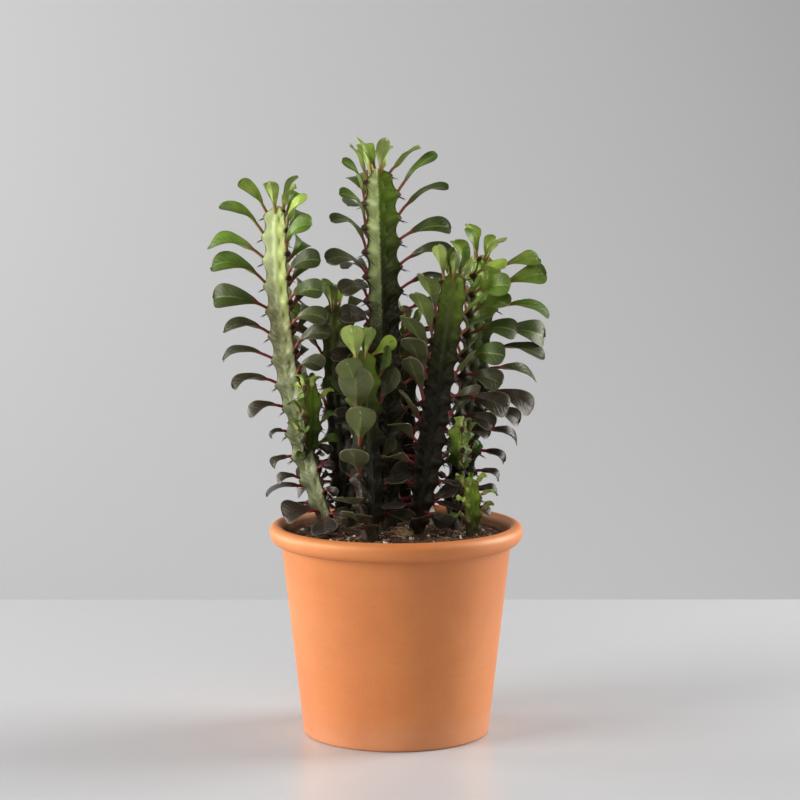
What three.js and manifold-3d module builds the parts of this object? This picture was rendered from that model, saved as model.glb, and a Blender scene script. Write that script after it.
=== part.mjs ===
// A potted euphorbia: eight leafy, three-ribbed stems standing in the soil of a terracotta pot.
// Millimetres, +Z up. Everything is laid out about the pot's axis, with the pot's foot at z = 0,
// and the whole group is then moved so that the middle of its footprint is the origin.
import * as THREE from "three";
import { mergeVertices } from "three/addons/utils/BufferGeometryUtils.js";
import Module from "manifold-3d";

const wasm = await Module();
wasm.setup();

// Driving dimensions of the pot
const RIM_RADIUS = 85;
const POT_HEIGHT = 142;
const RIM_UNDERSIDE = 129;
const NECK_RADIUS = 77; // the body just under the rim
const BASE_RADIUS = 62.5;
const BASE_EDGE = 2; // the small slope round the foot
const WALL = 5.5;
const FLARE_FROM = 131; // inside, the mouth flares above this height
const FLARE_SLOPE = 0.48;
const FLOOR = 9;
const DRAIN_RADIUS = 9;
const POT_SIDES = 40;
const WALL_SLOPE = (NECK_RADIUS - BASE_RADIUS) / (RIM_UNDERSIDE - BASE_EDGE);

// The soil fills the pot to a little below the crest of the rim
const SOIL_LEVEL = 134;
const SOIL_MOUND = 2.5; // how much higher the middle is than the edge
const SOIL_BUMP = 1.1;
const SOIL_SIDES = 20;
const SOIL_RINGS = [60, 40, 20, 0];
const FIT_GAP = 0.3; // between pieces that touch

// The round foot of a stem, which stands in a plain hole in the soil
const HOLE_GAP = 0.35;
const FOOT_DEPTH = 18;
const FOOT_RISE = 12;
const RIBS_START = 5; // the ribs begin this far above the soil, round the foot
const FOOT_SHARE = 0.42; // radius, as a share of the ribs'

// Ribs and teeth of a stem
const VALLEY = 0.38; // radius in the hollow of a face, as a share of the ribs'
const SCALLOP = 0.27; // depth of the notch between two teeth, as a share of the ribs' radius
const CROWDING = 0.45; // teeth stand closer together near the growing tip
const TIP_ROUNDING = 1.1; // length of the rounded tip, as a share of the ribs' radius
const FOOT_NARROWING = 0.38; // a stem is this much thinner at the soil
const WAIST_DEPTH = 0.22; // how much thinner an old growth joint is
const RIBS = 3;
const RINGS_PER_TOOTH = 3;
const BARE_FOOT = 11; // no teeth this near the soil

// Leaves: a narrow stalk, a blade widest near its end, and a small point
const WIDEST = 0.776; // where along the leaf it is widest
const STALK_SHARE = 0.3; // how much of the length is stalk
const STALK_HALF = 1.15;
const STALK_DEEP = 2;
const BLADE_DEEP = 1.5;
const SUNK = 3.2; // how far the stalk goes into the rib
const ABOVE_TOOTH = 1.8; // a leaf grows from the rib just above its tooth
const LEAF_STATIONS = [0.26, 0.6, 0.84]; // ends of the stalk and of the parts of the blade
const SHORT_LEAF = 24;
const SHORT_LEAF_STATIONS = [0.3, 0.76];
const ARCH_POWER = 1.7; // a leaf bends over mostly in its far half
const MIDRIB_STEPS = 20;
const OLD_LEAF_WIDE = 0.66;
const OLD_LEAF_ROOT = 0.3; // distance from the axis, as a share of the ribs' radius

// Young leaves that stand up round the growing tip. They are rooted near the axis, because the
// stem has almost no body that high.
const CROWN_LEAVES = 3;
const CROWN_DOWN = 5;
const CROWN_ROOT = 0.25; // distance from the axis, as a share of the ribs' radius
const CROWN_SHARE = 0.55; // of the length of a full leaf
const TOP_LEAF_DOWN = 4; // no leaf of a tooth starts nearer to the tip than this

// Room that leaves keep: between points on different stems, and within one stem
const CLEARANCE = 4.2;
const OWN_CLEARANCE = 2;
const POT_CLEARANCE = 2.2;
const SAMPLES_ALONG = 11;
const STALK_SAMPLES = 4;

// Spines stand in pairs. The plant has a pair under every tooth, here every fourth has one.
const SPINE_LENGTH = 5.2;
const SPINE_SUNK = 2;
const SPINE_RADIUS = 0.55;
const SPINE_SPLAY = 38;
const SPINE_DROOP = 0.22;
const SPINE_EVERY = 4;

const DEGREE = Math.PI / 180;

// Each stem: foot on the soil, the point that bends its axis, tip, rib radius, distance between
// teeth, direction of the first rib, place of its first tooth, leaf length near the top and at
// the soil, blade width as a share of length, and how the leaves of its three ribs swing to the
// side, stand higher, reach out (a share of the usual length) and roll about their own length.
// 'low' leaves are old ones by the soil: height above it, direction, length, rise of the chord,
// arch and roll. Directions are degrees from +X, seen from above, and the front is at 270.
const STEMS = [
  {
    name: "stem_left_tall", foot: [-43, 0], bend: [-80, -6, 240], tip: [-77.5, -8, 355],
    rib: 12, pitch: 16.5, turn: 185, phase: 0.6, leaf: 41, old: 17, wide: 0.37,
    swing: [0, 8, 0], lift: [0, 6, 12], reach: [1, 0.95, 0.9], roll: [-42, 45, 45],
    arching: 1, waist: 139, seed: 11,
    low: [[18, 205, 26, -4, 60, -40], [14, 268, 24, -12, 50, 0], [36, 186, 31, 8, 55, 0]],
    branches: [
      {
        foot: [-62, -5, 190], bend: [-56, -25, 194], tip: [-58, -25, 243],
        rib: 9.5, pitch: 16, turn: 250, phase: 0.4, leaf: 15, old: 13, wide: 0.42,
        swing: [0, 0, 0], lift: [20, 0, 0], reach: [1, 1, 1], roll: [0, 0, 0],
        arching: 1, seed: 17,
      },
    ],
  },
  {
    name: "stem_centre_tallest", foot: [-6, 10], bend: [-9, 10, 250], tip: [-12.5, 8, 379],
    rib: 16, pitch: 16, turn: 350, phase: 0.4, leaf: 41, old: 24, wide: 0.34,
    swing: [0, 0, -5], lift: [4, 8, 16], reach: [1, 1, 0.95], roll: [25, 0, -50],
    arching: 0.85, seed: 23,
  },
  {
    name: "stem_right_back", foot: [36.5, 9], bend: [48.5, 7, 228], tip: [58, 1, 322],
    rib: 14.5, pitch: 14, turn: 4, phase: 0.95, leaf: 38, old: 20, wide: 0.42,
    swing: [0, 0, 82], lift: [-14, 10, -5], reach: [1, 0.9, 1], roll: [42, 0, 50],
    arching: 0.8, seed: 37,
    branches: [
      {
        foot: [43, 7, 178], bend: [42.5, -18.5, 182], tip: [42.3, -19.8, 214],
        rib: 9.5, pitch: 14, turn: 280, phase: 0.4, leaf: 13, old: 12, wide: 0.42,
        swing: [0, 0, 0], lift: [30, 20, 20], reach: [1, 1, 1], roll: [0, 0, 0],
        arching: 0.7, seed: 41,
      },
    ],
  },
  {
    name: "stem_right_centre", foot: [13, -12], bend: [25.5, -15, 222], tip: [38.5, -17, 312],
    rib: 13, pitch: 14, turn: 217, phase: 0.75, leaf: 33, old: 25, wide: 0.42,
    swing: [8, 0, 0], lift: [45, 15, 10], reach: [1.05, 0.62, 0.9], roll: [0, 20, 0],
    arching: 0.6, seed: 53,
    low: [[20, 330, 30, -20, 45, 40], [14, 300, 26, -18, 40, 20], [24, 350, 26, -8, 45, 30]],
  },
  {
    name: "stem_front_short", foot: [-17, -31], bend: [-21.5, -33, 190], tip: [-23, -33, 262],
    rib: 14, pitch: 18, turn: 255, phase: 0.75, leaf: 29, old: 26, wide: 0.62,
    swing: [5, 0, 0], lift: [36, 15, 12], reach: [1, 0.75, 0.62], roll: [0, 55, -20],
    arching: 0.4, seed: 61, low: [[15, 268, 22, -6, 45, 0]],
  },
  {
    name: "offshoot_right", foot: [49.5, -16], bend: [50.5, -17, 150], tip: [48, -18, 176],
    rib: 8.5, pitch: 11, turn: 350, phase: 0.5, leaf: 13, old: 12, wide: 0.45,
    swing: [0, 0, 0], lift: [0, 0, 0], reach: [1, 1, 1], roll: [0, 0, 0],
    arching: 1, seed: 71,
  },
  {
    name: "stem_back_left", foot: [-31, 27], bend: [-39, 28, 195], tip: [-42, 26, 288],
    rib: 12, pitch: 17, turn: 200, phase: 0.3, leaf: 38, old: 26, wide: 0.42,
    swing: [0, 0, 0], lift: [0, 0, 0], reach: [1, 1, 1], roll: [-30, 0, 0],
    arching: 1, seed: 83, low: [[24, 215, 30, -5, 60, -30], [15, 190, 26, -8, 60, -20]],
  },
  {
    name: "stem_back_centre", foot: [3, 37], bend: [4, 42, 200], tip: [8, 44, 272],
    rib: 12, pitch: 17, turn: 330, phase: 0.5, leaf: 36, old: 24, wide: 0.42,
    swing: [0, 0, 0], lift: [0, 0, 0], reach: [1, 1, 1], roll: [0, 0, 0],
    arching: 1, seed: 97,
  },
];

// What a leaf tries in turn until it is clear of the other pieces: swing, lift and length
const WAYS = [
  [0, 0, 1], [0, 20, 1], [0, -20, 1], [24, 0, 1], [-24, 0, 1], [0, 40, 0.85],
  [26, 25, 0.85], [-26, 25, 0.85], [0, 0, 0.62], [30, 30, 0.62], [-30, 30, 0.62], [0, 60, 0.5],
];

const COLOURS = {
  pot: "#c87a4c",
  soil: "#2e2118",
  stem_left_tall: "#8f9a6b",
  stem_centre_tallest: "#4f6b33",
  stem_right_back: "#56713a",
  stem_right_centre: "#5f6a48",
  stem_front_short: "#647a4c",
  offshoot_right: "#6f9438",
  stem_back_left: "#4a4f3c",
  stem_back_centre: "#4b5640",
};
const TERRACOTTA_ROUGHNESS = 0.8;
const SOIL_ROUGHNESS = 1;
const PLANT_ROUGHNESS = 0.45;

// A repeatable number from 0 to 1 for the nth draw
function draw(n) {
  const wave = Math.sin(n * 12.9898) * 43758.5453;
  return wave - Math.floor(wave);
}

function spread(n, range) {
  return (2 * draw(n) - 1) * range;
}

function smooth(x) {
  const k = Math.min(1, Math.max(0, x));
  return k * k * (3 - 2 * k);
}

function solidOf(geometry) {
  const bare = geometry.clone();
  bare.deleteAttribute("normal");
  bare.deleteAttribute("uv");
  const merged = mergeVertices(bare, 1e-4);
  return new wasm.Manifold(
    new wasm.Mesh({
      numProp: 3,
      vertProperties: Float32Array.from(merged.attributes.position.array),
      triVerts: Uint32Array.from(merged.index.array),
    }),
  );
}

function geometryOf(solid) {
  const mesh = solid.getMesh();
  const positions = [];
  for (let i = 0; i < mesh.numVert; i++) {
    const at = i * mesh.numProp;
    positions.push(...mesh.vertProperties.subarray(at, at + 3));
  }
  const geometry = new THREE.BufferGeometry();
  geometry.setAttribute("position", new THREE.Float32BufferAttribute(positions, 3));
  geometry.setIndex(Array.from(mesh.triVerts));
  geometry.computeVertexNormals();
  return geometry;
}

// The main body of fused pieces, without scraps or sealed hollows
function mainBody(solid) {
  const parts = solid.decompose().filter((part) => part.volume() > 0);
  return parts.reduce((best, part) => (part.volume() > best.volume() ? part : best));
}

// A closed skin over rings of points with the same number of corners. The first ring is closed
// with a fan, and the last one runs to an end point.
function skin(rings, endPoint) {
  const corners = rings[0].length;
  const points = [...rings.flat(), endPoint];
  const faces = [];
  for (let i = 0; i + 1 < rings.length; i++) {
    for (let j = 0; j < corners; j++) {
      const a = i * corners + j;
      const b = i * corners + ((j + 1) % corners);
      faces.push(a, b, b + corners, a, b + corners, a + corners);
    }
  }
  for (let j = 1; j + 1 < corners; j++) {
    faces.push(0, j + 1, j);
  }
  const last = (rings.length - 1) * corners;
  for (let j = 0; j < corners; j++) {
    faces.push(last + j, last + ((j + 1) % corners), points.length - 1);
  }
  const geometry = new THREE.BufferGeometry().setFromPoints(points);
  geometry.setIndex(faces);
  return geometry;
}

// The axis of a stem, from its foot to its tip, with its length
function axisOf(stem) {
  const [x, y, z = SOIL_LEVEL] = stem.foot;
  const curve = new THREE.QuadraticBezierCurve3(
    new THREE.Vector3(x, y, z),
    new THREE.Vector3(...stem.bend),
    new THREE.Vector3(...stem.tip),
  );
  return { curve, length: curve.getLength() };
}

// A point on the axis and the directions there, at a distance down from the tip. 'across' is
// the X axis made square to the stem.
function frameAt(axis, down) {
  const t = 1 - down / axis.length;
  const point = axis.curve.getPoint(t);
  const along = axis.curve.getTangent(t);
  const across = new THREE.Vector3(1, 0, 0).addScaledVector(along, -along.x).normalize();
  const square = new THREE.Vector3().crossVectors(along, across);
  return { point, along, across, square };
}

function outward(frame, angle) {
  const way = frame.across.clone().multiplyScalar(Math.cos(angle * DEGREE));
  return way.addScaledVector(frame.square, Math.sin(angle * DEGREE));
}

// Distance down from the tip of tooth number 'count', which may be a fraction between teeth
function downTo(stem, count) {
  return stem.pitch * (count - CROWDING * (1 - Math.exp(-count)));
}

// Radius of the ribs at the teeth: rounded at the tip, thinner at the soil, and at an old growth
// joint where the stem has one
function ribRadius(stem, axis, down) {
  const top = Math.min(1, down / (TIP_ROUNDING * stem.rib));
  const rounding = Math.sqrt(1 - (1 - top) ** 2);
  const height = (axis.length - down) / axis.length;
  const foot = 1 - FOOT_NARROWING * (1 - smooth(height / 0.3));
  const joint = stem.waist ? 1 - WAIST_DEPTH * Math.exp(-(((down - stem.waist) / 8) ** 2)) : 1;
  return stem.rib * Math.max(0.25, rounding) * foot * joint;
}

function ribAngle(stem, rib) {
  return stem.turn + (rib * 360) / RIBS;
}

// How far the tooth counts of a rib are shifted, so that no two ribs have a tooth at one height
function ribPhase(stem, rib) {
  return (stem.phase + (rib * 2) / RIBS) % 1;
}

// Rib radius with the notches between the teeth
function notched(stem, axis, count, rib) {
  const part = (count - ribPhase(stem, rib) + 1) % 1;
  const notch = 1 - (2 * part - 1) ** 2;
  return ribRadius(stem, axis, downTo(stem, count)) * (1 - SCALLOP * notch);
}

// Rings of points that shape the stem, from the foot up: the three ribs and the hollows between
function ringsOf(stem, axis, fromFoot) {
  const rings = [];
  const first = stem.phase % (1 / RINGS_PER_TOOTH);
  for (let i = 0; downTo(stem, first + i / RINGS_PER_TOOTH) < axis.length - fromFoot; i++) {
    const count = first + i / RINGS_PER_TOOTH;
    const down = downTo(stem, count);
    if (down > 0.8) {
      rings.unshift(ringAt(stem, axis, count, down));
    }
  }
  return rings;
}

function ringAt(stem, axis, count, down) {
  const frame = frameAt(axis, down);
  const ring = [];
  for (let rib = 0; rib < RIBS; rib++) {
    const angle = ribAngle(stem, rib);
    const tip = notched(stem, axis, count, rib);
    const hollow = VALLEY * ribRadius(stem, axis, down);
    ring.push(frame.point.clone().addScaledVector(outward(frame, angle), tip));
    ring.push(frame.point.clone().addScaledVector(outward(frame, angle + 180 / RIBS), hollow));
  }
  return ring;
}

// Every tooth of a stem, from the tip down: its rib, its number on the rib, its distance from
// the tip and the number for its draws
function teethOf(stem, axis, fromFoot) {
  const teeth = [];
  for (let rib = 0; rib < RIBS; rib++) {
    const phase = ribPhase(stem, rib);
    for (let i = 0; downTo(stem, phase + i) < axis.length - fromFoot; i++) {
      const down = downTo(stem, phase + i);
      teeth.push({ rib, onRib: i, down, number: stem.seed * 100 + rib * 30 + i });
    }
  }
  return teeth.sort((a, b) => a.down - b.down);
}

// Half the width of a blade at a share of the leaf's length
function bladeHalf(wide, share) {
  if (share >= 1) {
    return 0;
  }
  return (wide / 2) * (share / WIDEST) ** 1.9 * ((1 - share) / (1 - WIDEST)) ** 0.55;
}

// What growth gives the leaf of a tooth: young leaves by the tip are short and stand higher,
// those below spread wide and arch over, and old ones near the soil are small
function toothLeaf(stem, axis, tooth) {
  const n = tooth.number;
  const young = 0.64 + 0.36 * smooth(tooth.down / 35);
  const old = smooth((tooth.down - 55) / Math.max(30, axis.length - 75));
  const share = stem.waist && tooth.down > stem.waist ? 1 : old;
  const usual = stem.leaf * young * (1 - share) + stem.old * share;
  const length = usual * stem.reach[tooth.rib] * (1 + spread(n, 0.12));
  const rise = -6 + 52 * Math.exp(-tooth.down / 55) + stem.lift[tooth.rib] * (1 - old);
  const arch = (38 + 50 * smooth(tooth.down / 45)) * stem.arching;
  return {
    down: Math.max(TOP_LEAF_DOWN, tooth.down - ABOVE_TOOTH),
    rootIn: ribRadius(stem, axis, tooth.down) - SUNK * 0.8 - 1.2,
    angle: ribAngle(stem, tooth.rib),
    length,
    wide: length * stem.wide,
    swing: stem.swing[tooth.rib] + spread(n + 3, 16),
    rise: rise + spread(n + 7, 8),
    arch: arch + spread(n + 11, 14),
    roll: stem.roll[tooth.rib] + spread(n + 5, 26),
  };
}

function crownLeaves(stem, axis) {
  const leaves = [];
  for (let i = 0; i < CROWN_LEAVES; i++) {
    const n = stem.seed * 100 + 90 + i;
    const length = stem.leaf * CROWN_SHARE * (1 + spread(n, 0.2));
    leaves.push({
      down: CROWN_DOWN,
      rootIn: ribRadius(stem, axis, CROWN_DOWN) * CROWN_ROOT,
      angle: stem.turn + 60 + (i * 360) / CROWN_LEAVES + spread(n + 3, 20),
      length,
      wide: length * stem.wide,
      swing: 0,
      rise: 72 + spread(n + 5, 7),
      arch: 30 + spread(n + 7, 14),
      roll: spread(n + 9, 30),
    });
  }
  return leaves;
}

function lowLeaves(stem, axis) {
  return (stem.low ?? []).map(([height, angle, length, rise, arch, roll]) => {
    const down = axis.length - height;
    const rootIn = ribRadius(stem, axis, down) * OLD_LEAF_ROOT;
    return { down, rootIn, angle, length, wide: length * OLD_LEAF_WIDE, swing: 0, rise, arch, roll };
  });
}

// Points along a midrib that starts at one angle and bends over ever faster to another, as
// distances out and up from its root
function midribOf(start, end, length) {
  const points = [[0, 0]];
  const step = length / MIDRIB_STEPS;
  for (let i = 1; i <= MIDRIB_STEPS; i++) {
    const angle = start + (end - start) * ((i - 0.5) / MIDRIB_STEPS) ** ARCH_POWER;
    const [out, up] = points[i - 1];
    points.push([out + step * Math.cos(angle), up + step * Math.sin(angle)]);
  }
  return points;
}

// A leaf in space: 'place' gives a point by the share along the midrib, the distance to the
// side and the distance above the blade, and 'half' gives half the width there
function leafIn(axis, plan, way) {
  const [swing, lift, shorter] = way;
  const frame = frameAt(axis, plan.down);
  const root = frame.point.clone().addScaledVector(outward(frame, plan.angle), plan.rootIn);
  const out = outward(frame, plan.angle + plan.swing + swing);
  const length = plan.length * shorter + SUNK;
  const first = plan.rise + plan.arch / (1 + ARCH_POWER) + lift;
  const start = Math.min(88, first) * DEGREE;
  const end = Math.max(-80, first - plan.arch) * DEGREE;
  const midrib = midribOf(start, end, length);
  const [reach, rise] = midrib[MIDRIB_STEPS];
  const side = new THREE.Vector3().crossVectors(frame.along, out);
  const chord = out.clone().multiplyScalar(reach).addScaledVector(frame.along, rise).normalize();
  const place = (share, aside, above) => {
    const step = Math.min(MIDRIB_STEPS - 1, Math.floor(share * MIDRIB_STEPS));
    const part = share * MIDRIB_STEPS - step;
    const angle = start + (end - start) * share ** ARCH_POWER;
    const across = midrib[step][0] * (1 - part) + midrib[step + 1][0] * part;
    const up = midrib[step][1] * (1 - part) + midrib[step + 1][1] * part;
    const point = out.clone().multiplyScalar(across - above * Math.sin(angle));
    point.addScaledVector(frame.along, up + above * Math.cos(angle));
    point.addScaledVector(side, aside);
    return point.applyAxisAngle(chord, plan.roll * DEGREE).add(root);
  };
  const half = (share) => {
    const blade = share > STALK_SHARE ? bladeHalf(plan.wide * shorter, share) : 0;
    return share < 0.9 ? Math.max(STALK_HALF, blade) : blade;
  };
  return { place, half, length };
}

// A leaf is a thin wedge: two edges above and the midrib below. Its stalk is straight.
function leafSolid(leaf) {
  const stations = leaf.length < SHORT_LEAF ? SHORT_LEAF_STATIONS : LEAF_STATIONS;
  const rings = stations.map((share) => {
    const half = leaf.half(share);
    const deep = share <= STALK_SHARE ? STALK_DEEP : BLADE_DEEP;
    return [leaf.place(share, half, 0), leaf.place(share, -half, 0), leaf.place(share, 0, -deep)];
  });
  const stalk = leaf.place(0, 0, 0).sub(leaf.place(stations[0], 0, 0));
  rings.unshift(rings[0].map((point) => point.clone().add(stalk)));
  return solidOf(skin(rings, leaf.place(1, 0, -0.2)));
}

// Points spread over a leaf from its stalk to its tip, to keep it clear of other pieces
function leafSamples(leaf) {
  const points = [];
  for (let i = 1; i <= SAMPLES_ALONG; i++) {
    const share = i / SAMPLES_ALONG;
    const half = leaf.half(share);
    const sides = half < 2 ? [0] : [-1, -0.5, 0, 0.5, 1];
    points.push(...sides.map((side) => leaf.place(share, side * half, -0.7)));
  }
  return points;
}

function soilHeight(x, y) {
  const mound = SOIL_MOUND * (1 - (x * x + y * y) / NECK_RADIUS ** 2);
  return SOIL_LEVEL + mound + SOIL_BUMP * Math.sin(x * 0.21 + 1) * Math.cos(y * 0.18 - 0.6);
}

// Above the soil inside the pot, and above the rim outside it
function clearOfPot(point) {
  const overSoil = Math.hypot(point.x, point.y) < wallInside(SOIL_LEVEL) - 6;
  const floor = overSoil ? soilHeight(point.x, point.y) : POT_HEIGHT;
  return point.z > floor + POT_CLEARANCE;
}

// Groups of points that a new leaf must stay clear of, each with the stem that owns it
const taken = [];

function take(owner, points) {
  taken.push({ owner, points, sphere: new THREE.Sphere().setFromPoints(points) });
}

function anyNear(points, others, gap) {
  return points.some((point) => others.some((other) => point.distanceTo(other) < gap));
}

function isClear(owner, points) {
  if (!points.every(clearOfPot)) {
    return false;
  }
  const sphere = new THREE.Sphere().setFromPoints(points);
  const blade = points.slice(STALK_SAMPLES);
  return taken.every((other) => {
    const own = other.owner === owner;
    const gap = own ? OWN_CLEARANCE : CLEARANCE;
    const reach = sphere.radius + other.sphere.radius + gap;
    const apart = sphere.center.distanceTo(other.sphere.center) > reach;
    return apart || !anyNear(own ? blade : points, other.points, gap);
  });
}

// Two spines under a tooth, splayed to the sides and pointing a little down
function spinesOf(stem, axis, tooth) {
  const frame = frameAt(axis, tooth.down + 1.4);
  const angle = ribAngle(stem, tooth.rib);
  const inside = ribRadius(stem, axis, tooth.down) - SPINE_SUNK - 0.2;
  const base = frame.point.clone().addScaledVector(outward(frame, angle), inside);
  return [-1, 1].map((hand) => {
    const way = outward(frame, angle + hand * SPINE_SPLAY);
    way.addScaledVector(frame.along, -SPINE_DROOP).normalize();
    return { base, way, tip: base.clone().addScaledVector(way, SPINE_LENGTH + SPINE_SUNK) };
  });
}

function spineSolid(spine) {
  const length = SPINE_LENGTH + SPINE_SUNK;
  const cone = new THREE.ConeGeometry(SPINE_RADIUS, length, 3);
  cone.translate(0, length / 2, 0);
  const up = new THREE.Vector3(0, 1, 0);
  cone.applyQuaternion(new THREE.Quaternion().setFromUnitVectors(up, spine.way));
  cone.translate(...spine.base);
  return solidOf(cone);
}

// The round foot of a stem, or with 'grow' the hole that it stands in
function footSolid(stem, grow) {
  const radius = stem.rib * FOOT_SHARE + grow;
  const height = FOOT_DEPTH + FOOT_RISE + 2 * grow;
  const foot = new THREE.CylinderGeometry(radius, radius, height, 6);
  foot.rotateX(Math.PI / 2);
  foot.rotateZ((stem.turn + 90) * DEGREE);
  foot.translate(stem.foot[0], stem.foot[1], SOIL_LEVEL + (FOOT_RISE - FOOT_DEPTH) / 2);
  return solidOf(foot);
}

// A stem or a side branch before any leaves: its axis, shape, teeth and spines
function growBody(stem, fromFoot, teethFromFoot) {
  const axis = axisOf(stem);
  const rings = ringsOf(stem, axis, fromFoot);
  const teeth = teethOf(stem, axis, teethFromFoot);
  const spined = teeth.filter((tooth) => (tooth.onRib + tooth.rib) % SPINE_EVERY === 0);
  const spines = spined.flatMap((tooth) => spinesOf(stem, axis, tooth));
  return { stem, axis, rings, teeth, spines };
}

function takeBody(owner, body) {
  for (const ring of body.rings) {
    const between = ring.map((point, i) => point.clone().lerp(ring[(i + 1) % ring.length], 0.5));
    take(owner, [...ring, ...between]);
  }
  for (const spine of body.spines) {
    take(owner, [0.4, 0.7, 1].map((share) => spine.base.clone().lerp(spine.tip, share)));
  }
}

// The leaves of a body, each in the first way that is clear, or left out if none is
function growLeaves(owner, body) {
  const { stem, axis, teeth } = body;
  const plans = [
    ...crownLeaves(stem, axis),
    ...lowLeaves(stem, axis),
    ...teeth.map((tooth) => toothLeaf(stem, axis, tooth)),
  ];
  const leaves = [];
  for (const plan of plans) {
    const tries = WAYS.map((way) => leafIn(axis, plan, way));
    const leaf = tries.find((attempt) => isClear(owner, leafSamples(attempt)));
    if (leaf) {
      take(owner, leafSamples(leaf));
      leaves.push(leaf);
    }
  }
  return leaves;
}

// All the bodies come first, so that leaves bend clear of every stem
function growPlants() {
  const plants = STEMS.map((stem) => {
    const main = growBody(stem, RIBS_START, BARE_FOOT);
    const sides = (stem.branches ?? []).map((branch) => growBody(branch, 1, BARE_FOOT / 2));
    return { stem, bodies: [main, ...sides] };
  });
  for (const { stem, bodies } of plants) {
    bodies.forEach((body) => takeBody(stem.name, body));
  }
  for (const { stem, bodies } of plants) {
    for (const body of bodies) {
      body.leaves = growLeaves(stem.name, body);
    }
  }
  return plants;
}

function plantGeometry({ stem, bodies }) {
  const pieces = [footSolid(stem, 0)];
  for (const { axis, rings, leaves, spines } of bodies) {
    pieces.push(solidOf(skin(rings, axis.curve.getPoint(1))));
    pieces.push(...leaves.map(leafSolid));
    pieces.push(...spines.map(spineSolid));
  }
  return geometryOf(mainBody(pieces.reduce((whole, piece) => whole.add(piece))));
}

// Radius of the inside of the pot's wall at a height
function wallInside(z) {
  const flare = FLARE_SLOPE * Math.max(0, z - FLARE_FROM);
  return NECK_RADIUS - WALL - WALL_SLOPE * (RIM_UNDERSIDE - z) + flare;
}

function lathe(profile, sides) {
  const points = profile.map(([r, z]) => new THREE.Vector2(r, z));
  return new THREE.LatheGeometry(points, sides).rotateX(Math.PI / 2);
}

// Foot, wall, rolled rim, inside wall, floor and drain hole
function potGeometry() {
  const profile = [
    [DRAIN_RADIUS, 0],
    [BASE_RADIUS - BASE_EDGE, 0],
    [BASE_RADIUS, BASE_EDGE],
    [NECK_RADIUS, RIM_UNDERSIDE],
    [RIM_RADIUS - 3.8, RIM_UNDERSIDE + 1],
    [RIM_RADIUS - 1.3, RIM_UNDERSIDE + 4],
    [RIM_RADIUS, POT_HEIGHT - 4.8],
    [RIM_RADIUS - 0.9, POT_HEIGHT - 2],
    [RIM_RADIUS - 2.8, POT_HEIGHT - 0.3],
    [RIM_RADIUS - 5, POT_HEIGHT],
    [RIM_RADIUS - 7.2, POT_HEIGHT - 0.8],
    [RIM_RADIUS - 8.5, POT_HEIGHT - 3],
    [wallInside(FLARE_FROM), FLARE_FROM],
    [wallInside(FLOOR), FLOOR],
    [DRAIN_RADIUS, FLOOR],
    [DRAIN_RADIUS, 0],
  ];
  return lathe(profile, POT_SIDES);
}

// The soil follows the inside of the pot. Its top is mounded and lumpy, with holes for the feet.
function soilGeometry() {
  const bottom = FLOOR + FIT_GAP;
  const profile = [
    [0, bottom],
    [wallInside(bottom) - FIT_GAP, bottom],
    [wallInside(FLARE_FROM) - FIT_GAP, FLARE_FROM],
    [wallInside(SOIL_LEVEL) - FIT_GAP, SOIL_LEVEL],
    ...SOIL_RINGS.map((r) => [r, SOIL_LEVEL]),
  ];
  const lump = lathe(profile, SOIL_SIDES);
  const place = lump.attributes.position;
  for (let i = 0; i < place.count; i++) {
    const [x, y] = [place.getX(i), place.getY(i)];
    if (place.getZ(i) > SOIL_LEVEL - 1 && Math.hypot(x, y) < SOIL_RINGS[0] + 1) {
      place.setZ(i, soilHeight(x, y));
    }
  }
  const holes = STEMS.map((stem) => footSolid(stem, HOLE_GAP));
  return geometryOf(holes.reduce((soil, hole) => soil.subtract(hole), solidOf(lump)));
}

function meshOf(name, geometry, roughness) {
  const material = new THREE.MeshStandardMaterial({ color: COLOURS[name], roughness, metalness: 0 });
  const mesh = new THREE.Mesh(geometry, material);
  mesh.name = name;
  return mesh;
}

const euphorbia = new THREE.Group();
euphorbia.add(meshOf("pot", potGeometry(), TERRACOTTA_ROUGHNESS));
euphorbia.add(meshOf("soil", soilGeometry(), SOIL_ROUGHNESS));
for (const plant of growPlants()) {
  euphorbia.add(meshOf(plant.stem.name, plantGeometry(plant), PLANT_ROUGHNESS));
}

// The origin is the middle of the footprint, at the level of the pot's foot
const middle = new THREE.Box3().setFromObject(euphorbia).getCenter(new THREE.Vector3());
euphorbia.position.set(-middle.x, -middle.y, 0);

export default euphorbia;
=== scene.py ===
# %% [markdown]
# Potted euphorbia, as a lesson in Blender.
#
# The real thing is a three-ribbed, tree-like spurge in a clay pot. Its stems carry a tooth every
# centimetre and a half along each rib, and every tooth bears one spoon-shaped leaf above a pair of
# thin, dark spines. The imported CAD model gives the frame: where the pot, the soil and each stem are,
# and how far every leaf reaches. Those solids are plain and faceted, so each gets a finer piece here
# that keeps its place and its form.

import math

import bpy
import numpy as np
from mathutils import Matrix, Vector, noise
from mathutils.bvhtree import BVHTree


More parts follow.
